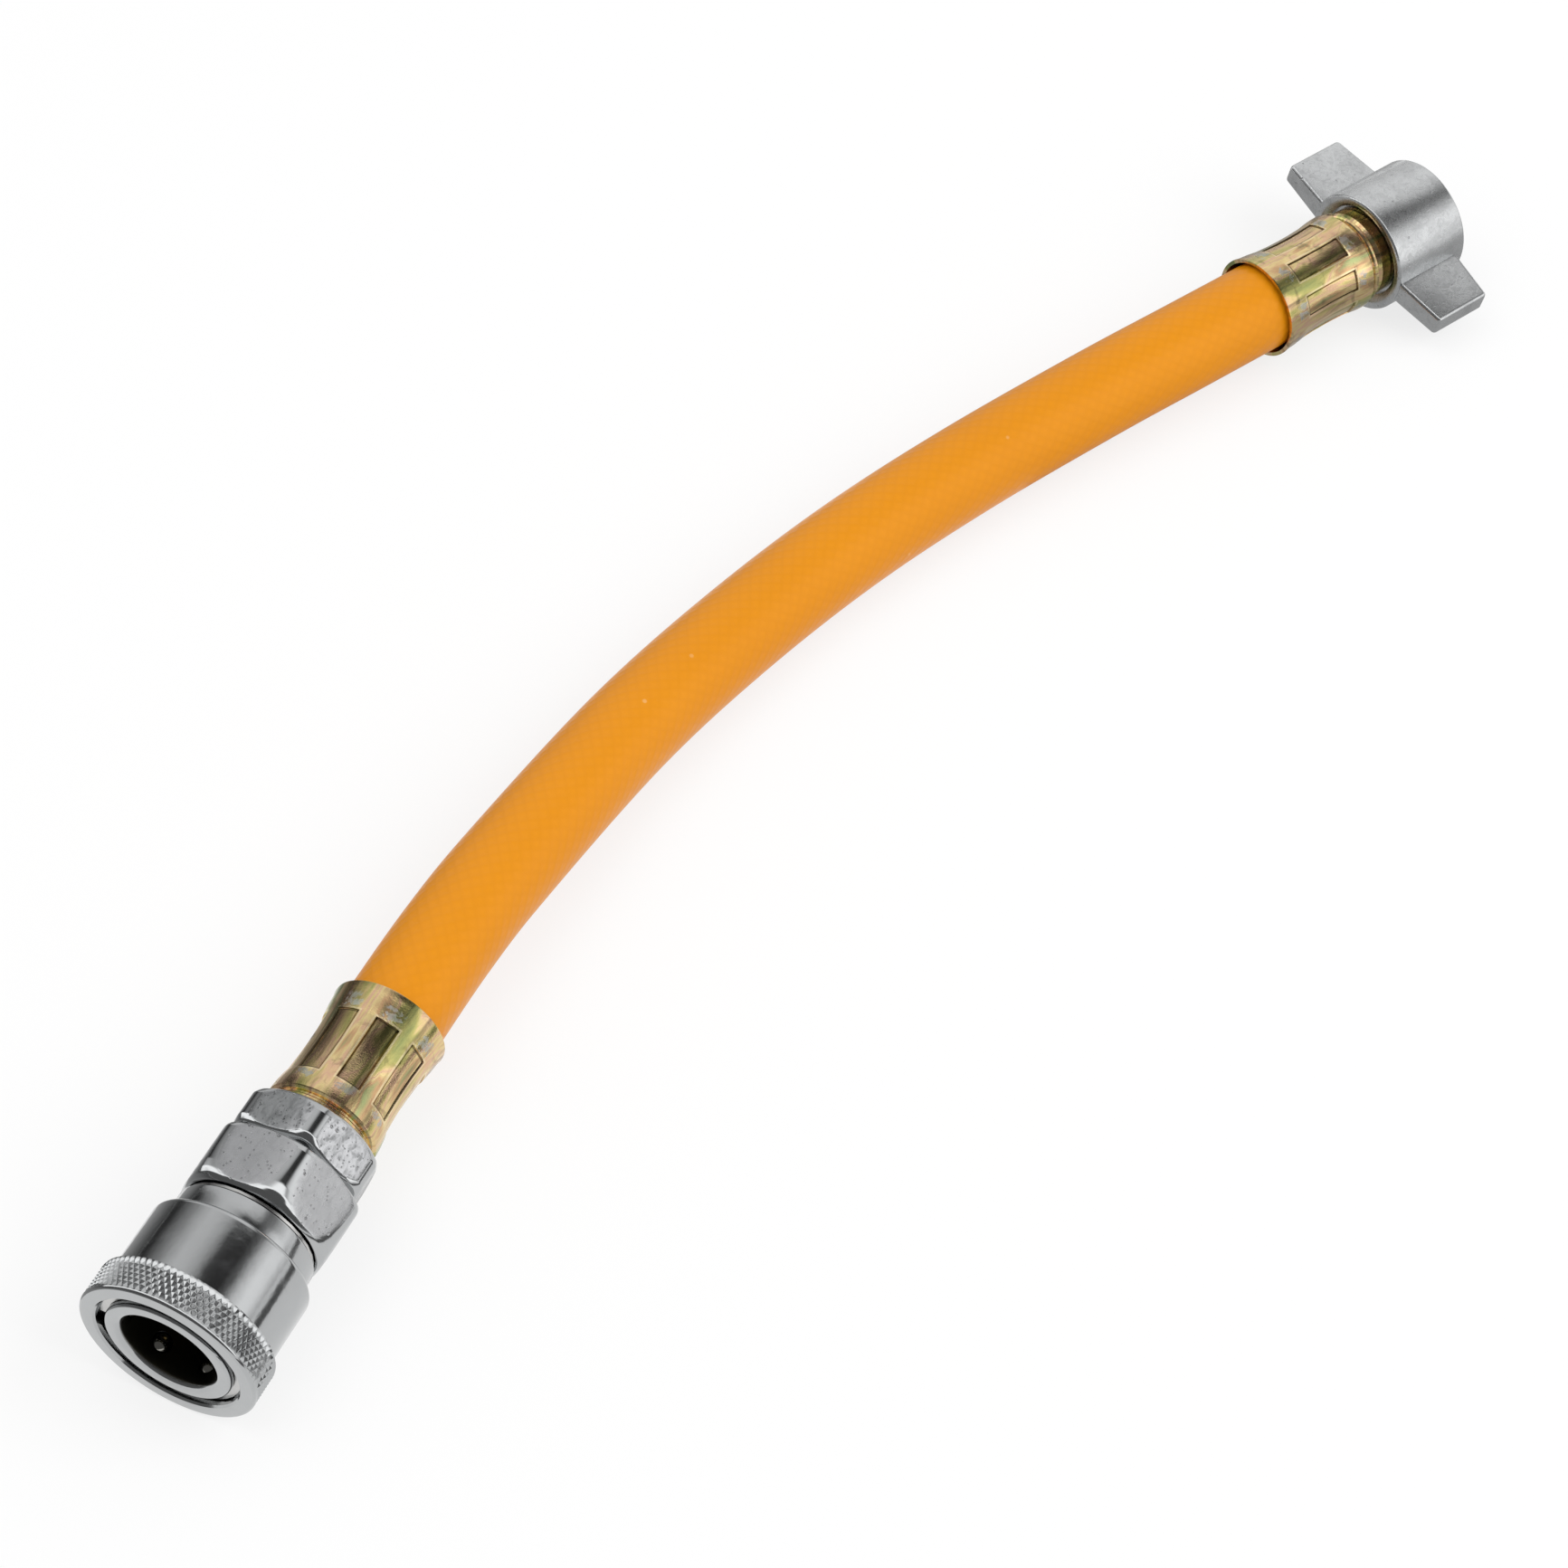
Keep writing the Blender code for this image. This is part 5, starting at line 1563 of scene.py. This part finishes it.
@dataclass
class Studio:
    """A pale floor, soft lamps, a tent for the metal to show, and the camera at the photo's angle."""

    floor_size: float = 6.0
    floor_colour: Colour = (0.93, 0.93, 0.93)
    floor_glow: float = 0.75
    floor_drop: float = 0.2 * MM
    card_height: float = 0.4 * MM
    soft_level: float = 0.62
    tent_radius: float = 2.6
    tent_level: float = 1.35
    behind_level: float = 0.10
    seam_level: float = 1.3
    even_cloth: Profile = (
        (0.0, 0.50), (0.25, 0.66), (0.50, 0.74), (0.62, 0.62), (0.69, 0.14), (0.76, 0.20),
        (0.86, 0.60), (0.93, 0.90), (1.0, 0.70),
    )
    panelled_cloth: Profile = (
        (0.0, 0.03), (0.05, 0.03), (0.10, 0.12), (0.185, 0.28), (0.25, 0.48), (0.32, 0.64),
        (0.39, 0.60), (0.45, 0.47), (0.485, 0.32), (0.53, 0.06), (0.60, 0.03), (0.67, 0.03),
        (0.72, 0.12), (0.765, 0.46), (0.80, 0.72), (0.86, 1.0), (0.93, 0.95), (0.975, 0.64),
        (1.0, 0.50),
    )
    camera_from_mouth: tuple[float, float, float] = (-0.1869, -0.1806, 0.4248)
    target_from_mouth: tuple[float, float, float] = (0.1364, -0.0270, 0.0)
    lens: float = 80.95

    def build(self) -> None:
        """Sets up the floor, the tent, the world, the lamps and the camera."""
        self.floor()
        self.tent()
        self.shade_cards()
        self.world()
        self.lamp("key", (0.1, -0.9, 0.9), 0.9, 7.0)
        self.lamp("top", (-0.2, 0.3, 1.3), 1.1, 4.5)
        self.camera()
        bpy.context.scene.view_settings.view_transform = "Standard"

    def floor(self) -> None:
        """The plain floor under the hose."""
        Bench.clear()
        bpy.ops.mesh.primitive_plane_add(size=self.floor_size, location=(0.0, 0.0, -self.floor_drop))
        floor = Bench.named("floor")
        graph = Graph("pale_floor")
        paint = {"Color": graph.colour(self.floor_colour), "Roughness": 0.9}
        blend = {
            0: graph.seen_straight() * self.floor_glow,
            1: graph.signal("ShaderNodeBsdfDiffuse", {}, paint),
            2: graph.emission(WHITE, 1.0),
        }
        floor.data.materials.append(graph.finish(graph.signal("ShaderNodeMixShader", {}, blend)))

    def tent(self) -> None:
        """The dome of a light tent, bright low on one side, with its opening left dark.

        Only reflections show it. Its brightness follows the angle round X, from the +Y side of
        the floor over the top to the -Y side.
        """
        Bench.clear()
        bpy.ops.mesh.primitive_uv_sphere_add(segments=64, ring_count=32, radius=self.tent_radius)
        tent = Bench.named("tent")
        with Bench.editing(tent):
            bpy.ops.mesh.select_all(action="SELECT")
            bpy.ops.mesh.bisect(plane_co=(0.0, 0.0, -0.001), plane_no=(0.0, 0.0, 1.0), clear_inner=True)
        graph = Graph("tent_cloth")
        ahead, across, up = graph.split(graph.place())
        turn = graph.maths("ARCTAN2", up, across) * (1.0 / math.pi)
        ahead = ahead * (1.0 / self.tent_radius)
        beside = ahead.step(0.12, 0.24) * (1.0 - ahead.step(0.47, 0.58))
        behind = 1.0 - ahead.step(-0.24, -0.14)
        middle = ahead.step(-0.2, -0.12) * (1.0 - ahead.step(0.04, 0.14))
        sides = graph.mix(middle, self.greys(graph, turn, self.even_cloth), (self.seam_level,) * 3)
        front = graph.mix(beside, sides, self.greys(graph, turn, self.panelled_cloth))
        self.glow(tent, graph, graph.mix(behind, front, (self.behind_level,) * 3), self.tent_level)

    @staticmethod
    def glow(piece: Piece, graph: Graph, colour: Any, level: Number) -> None:
        """Ends a glowing material on a piece of the studio that only reflections show."""
        piece.data.materials.append(graph.finish(graph.emission(colour, level)))
        piece.visible_camera = False
        piece.visible_diffuse = False
        piece.visible_shadow = False
        piece.visible_transmission = False

    def shade_cards(self) -> None:
        """Three grey cards on the floor, beside and under the metal, that only reflections show: painted
        shade of the floor, greyer than the white floor and fading from each card's first edge.
        """
        mouth_y = COUPLER.origin.y
        nut_y = WING_END.origin.y
        for card in (
            Card("far_shade_card", (-1.0, 1.0), (mouth_y + 0.03, mouth_y + 1.4), 0.42, 0.04),
            Card("near_shade_card", (-0.22, -0.02), (mouth_y - 0.068, mouth_y - 0.17), 0.12, 0.10),
            Card("nut_shade_card", (0.06, 0.21), (nut_y - 0.09, nut_y + 0.07), 0.5, 0.4),
        ):
            Bench.clear()
            middle = (0.5 * sum(card.x_range), 0.5 * sum(card.y_range), self.card_height)
            bpy.ops.mesh.primitive_plane_add(size=1.0, location=middle)
            flag = Bench.named(card.name)
            flag.scale = (card.x_range[1] - card.x_range[0], abs(card.y_range[1] - card.y_range[0]), 1.0)
            Bench.fix_place(flag)
            graph = Graph(card.name)
            away = abs(graph.split(graph.place())[1] - card.y_range[0])
            self.glow(flag, graph, WHITE, card.far + (card.near - card.far) / (away * card.fade + 1.0))

    @staticmethod
    def greys(graph: Graph, turn: Signal, levels: Profile) -> Signal:
        """A ramp of greys from (place, level) pairs."""
        return graph.ramp(turn, [(place, (level, level, level)) for place, level in levels])

    def world(self) -> None:
        """A white surround for the camera, metal and glass, and a softer one as light."""
        world = bpy.data.worlds.new("surround")
        bpy.context.scene.world = world
        graph = Graph("surround", world)
        strength = graph.seen_straight() * (1.0 - self.soft_level) + self.soft_level
        sockets = {"Color": graph.colour(WHITE), "Strength": strength}
        graph.finish(graph.signal("ShaderNodeBackground", {}, sockets), "World")

    def lamp(self, name: str, place: tuple[float, float, float], size: float, power: float) -> None:
        """Hangs one square soft lamp.

        Args:
            name: The lamp's name.
            place: Where it hangs.
            size: Its side, in metres.
            power: Its power, in watts.
        """
        light = bpy.data.lights.new(name, "AREA")
        light.size = size
        light.energy = power
        lamp = bpy.data.objects.new(name, light)
        lamp.location = place
        lamp.rotation_euler = (-Vector(place)).to_track_quat("-Z", "Y").to_euler()
        lamp.visible_glossy = False
        bpy.context.scene.collection.objects.link(lamp)

    def camera(self) -> None:
        """The camera that was fitted to the photo."""
        mouth = Vector((COUPLER.origin.x, COUPLER.origin.y, 0.0))
        place = mouth + Vector(self.camera_from_mouth)
        target = mouth + Vector(self.target_from_mouth)
        lens = bpy.data.cameras.new("camera")
        lens.lens = self.lens
        lens.sensor_width = 36.0
        camera = bpy.data.objects.new("camera", lens)
        camera.location = place
        camera.rotation_euler = (target - place).to_track_quat("-Z", "Y").to_euler()
        bpy.context.scene.collection.objects.link(camera)
        bpy.context.scene.camera = camera


def main() -> None:
    """Builds and dresses every piece, and sets up the studio."""
    logging.basicConfig(level=logging.INFO, format="%(name)s: %(message)s")
    Studio().build()
    Hose().build()
    Sleeve().build()
    Barrel().build()
    Hexagons().build()
    Ferrules(
        (
            Seat("socket_ferrule", "coupler_ferrule", COUPLER, 39.3 * MM, 1.0),
            Seat("swivel_ferrule", "wing_ferrule", WING_END, -2.2 * MM, -1.0),
        )
    ).build()
    WingEnd().build()
    InnerPieces().build()


if __name__ == "__main__":
    main()
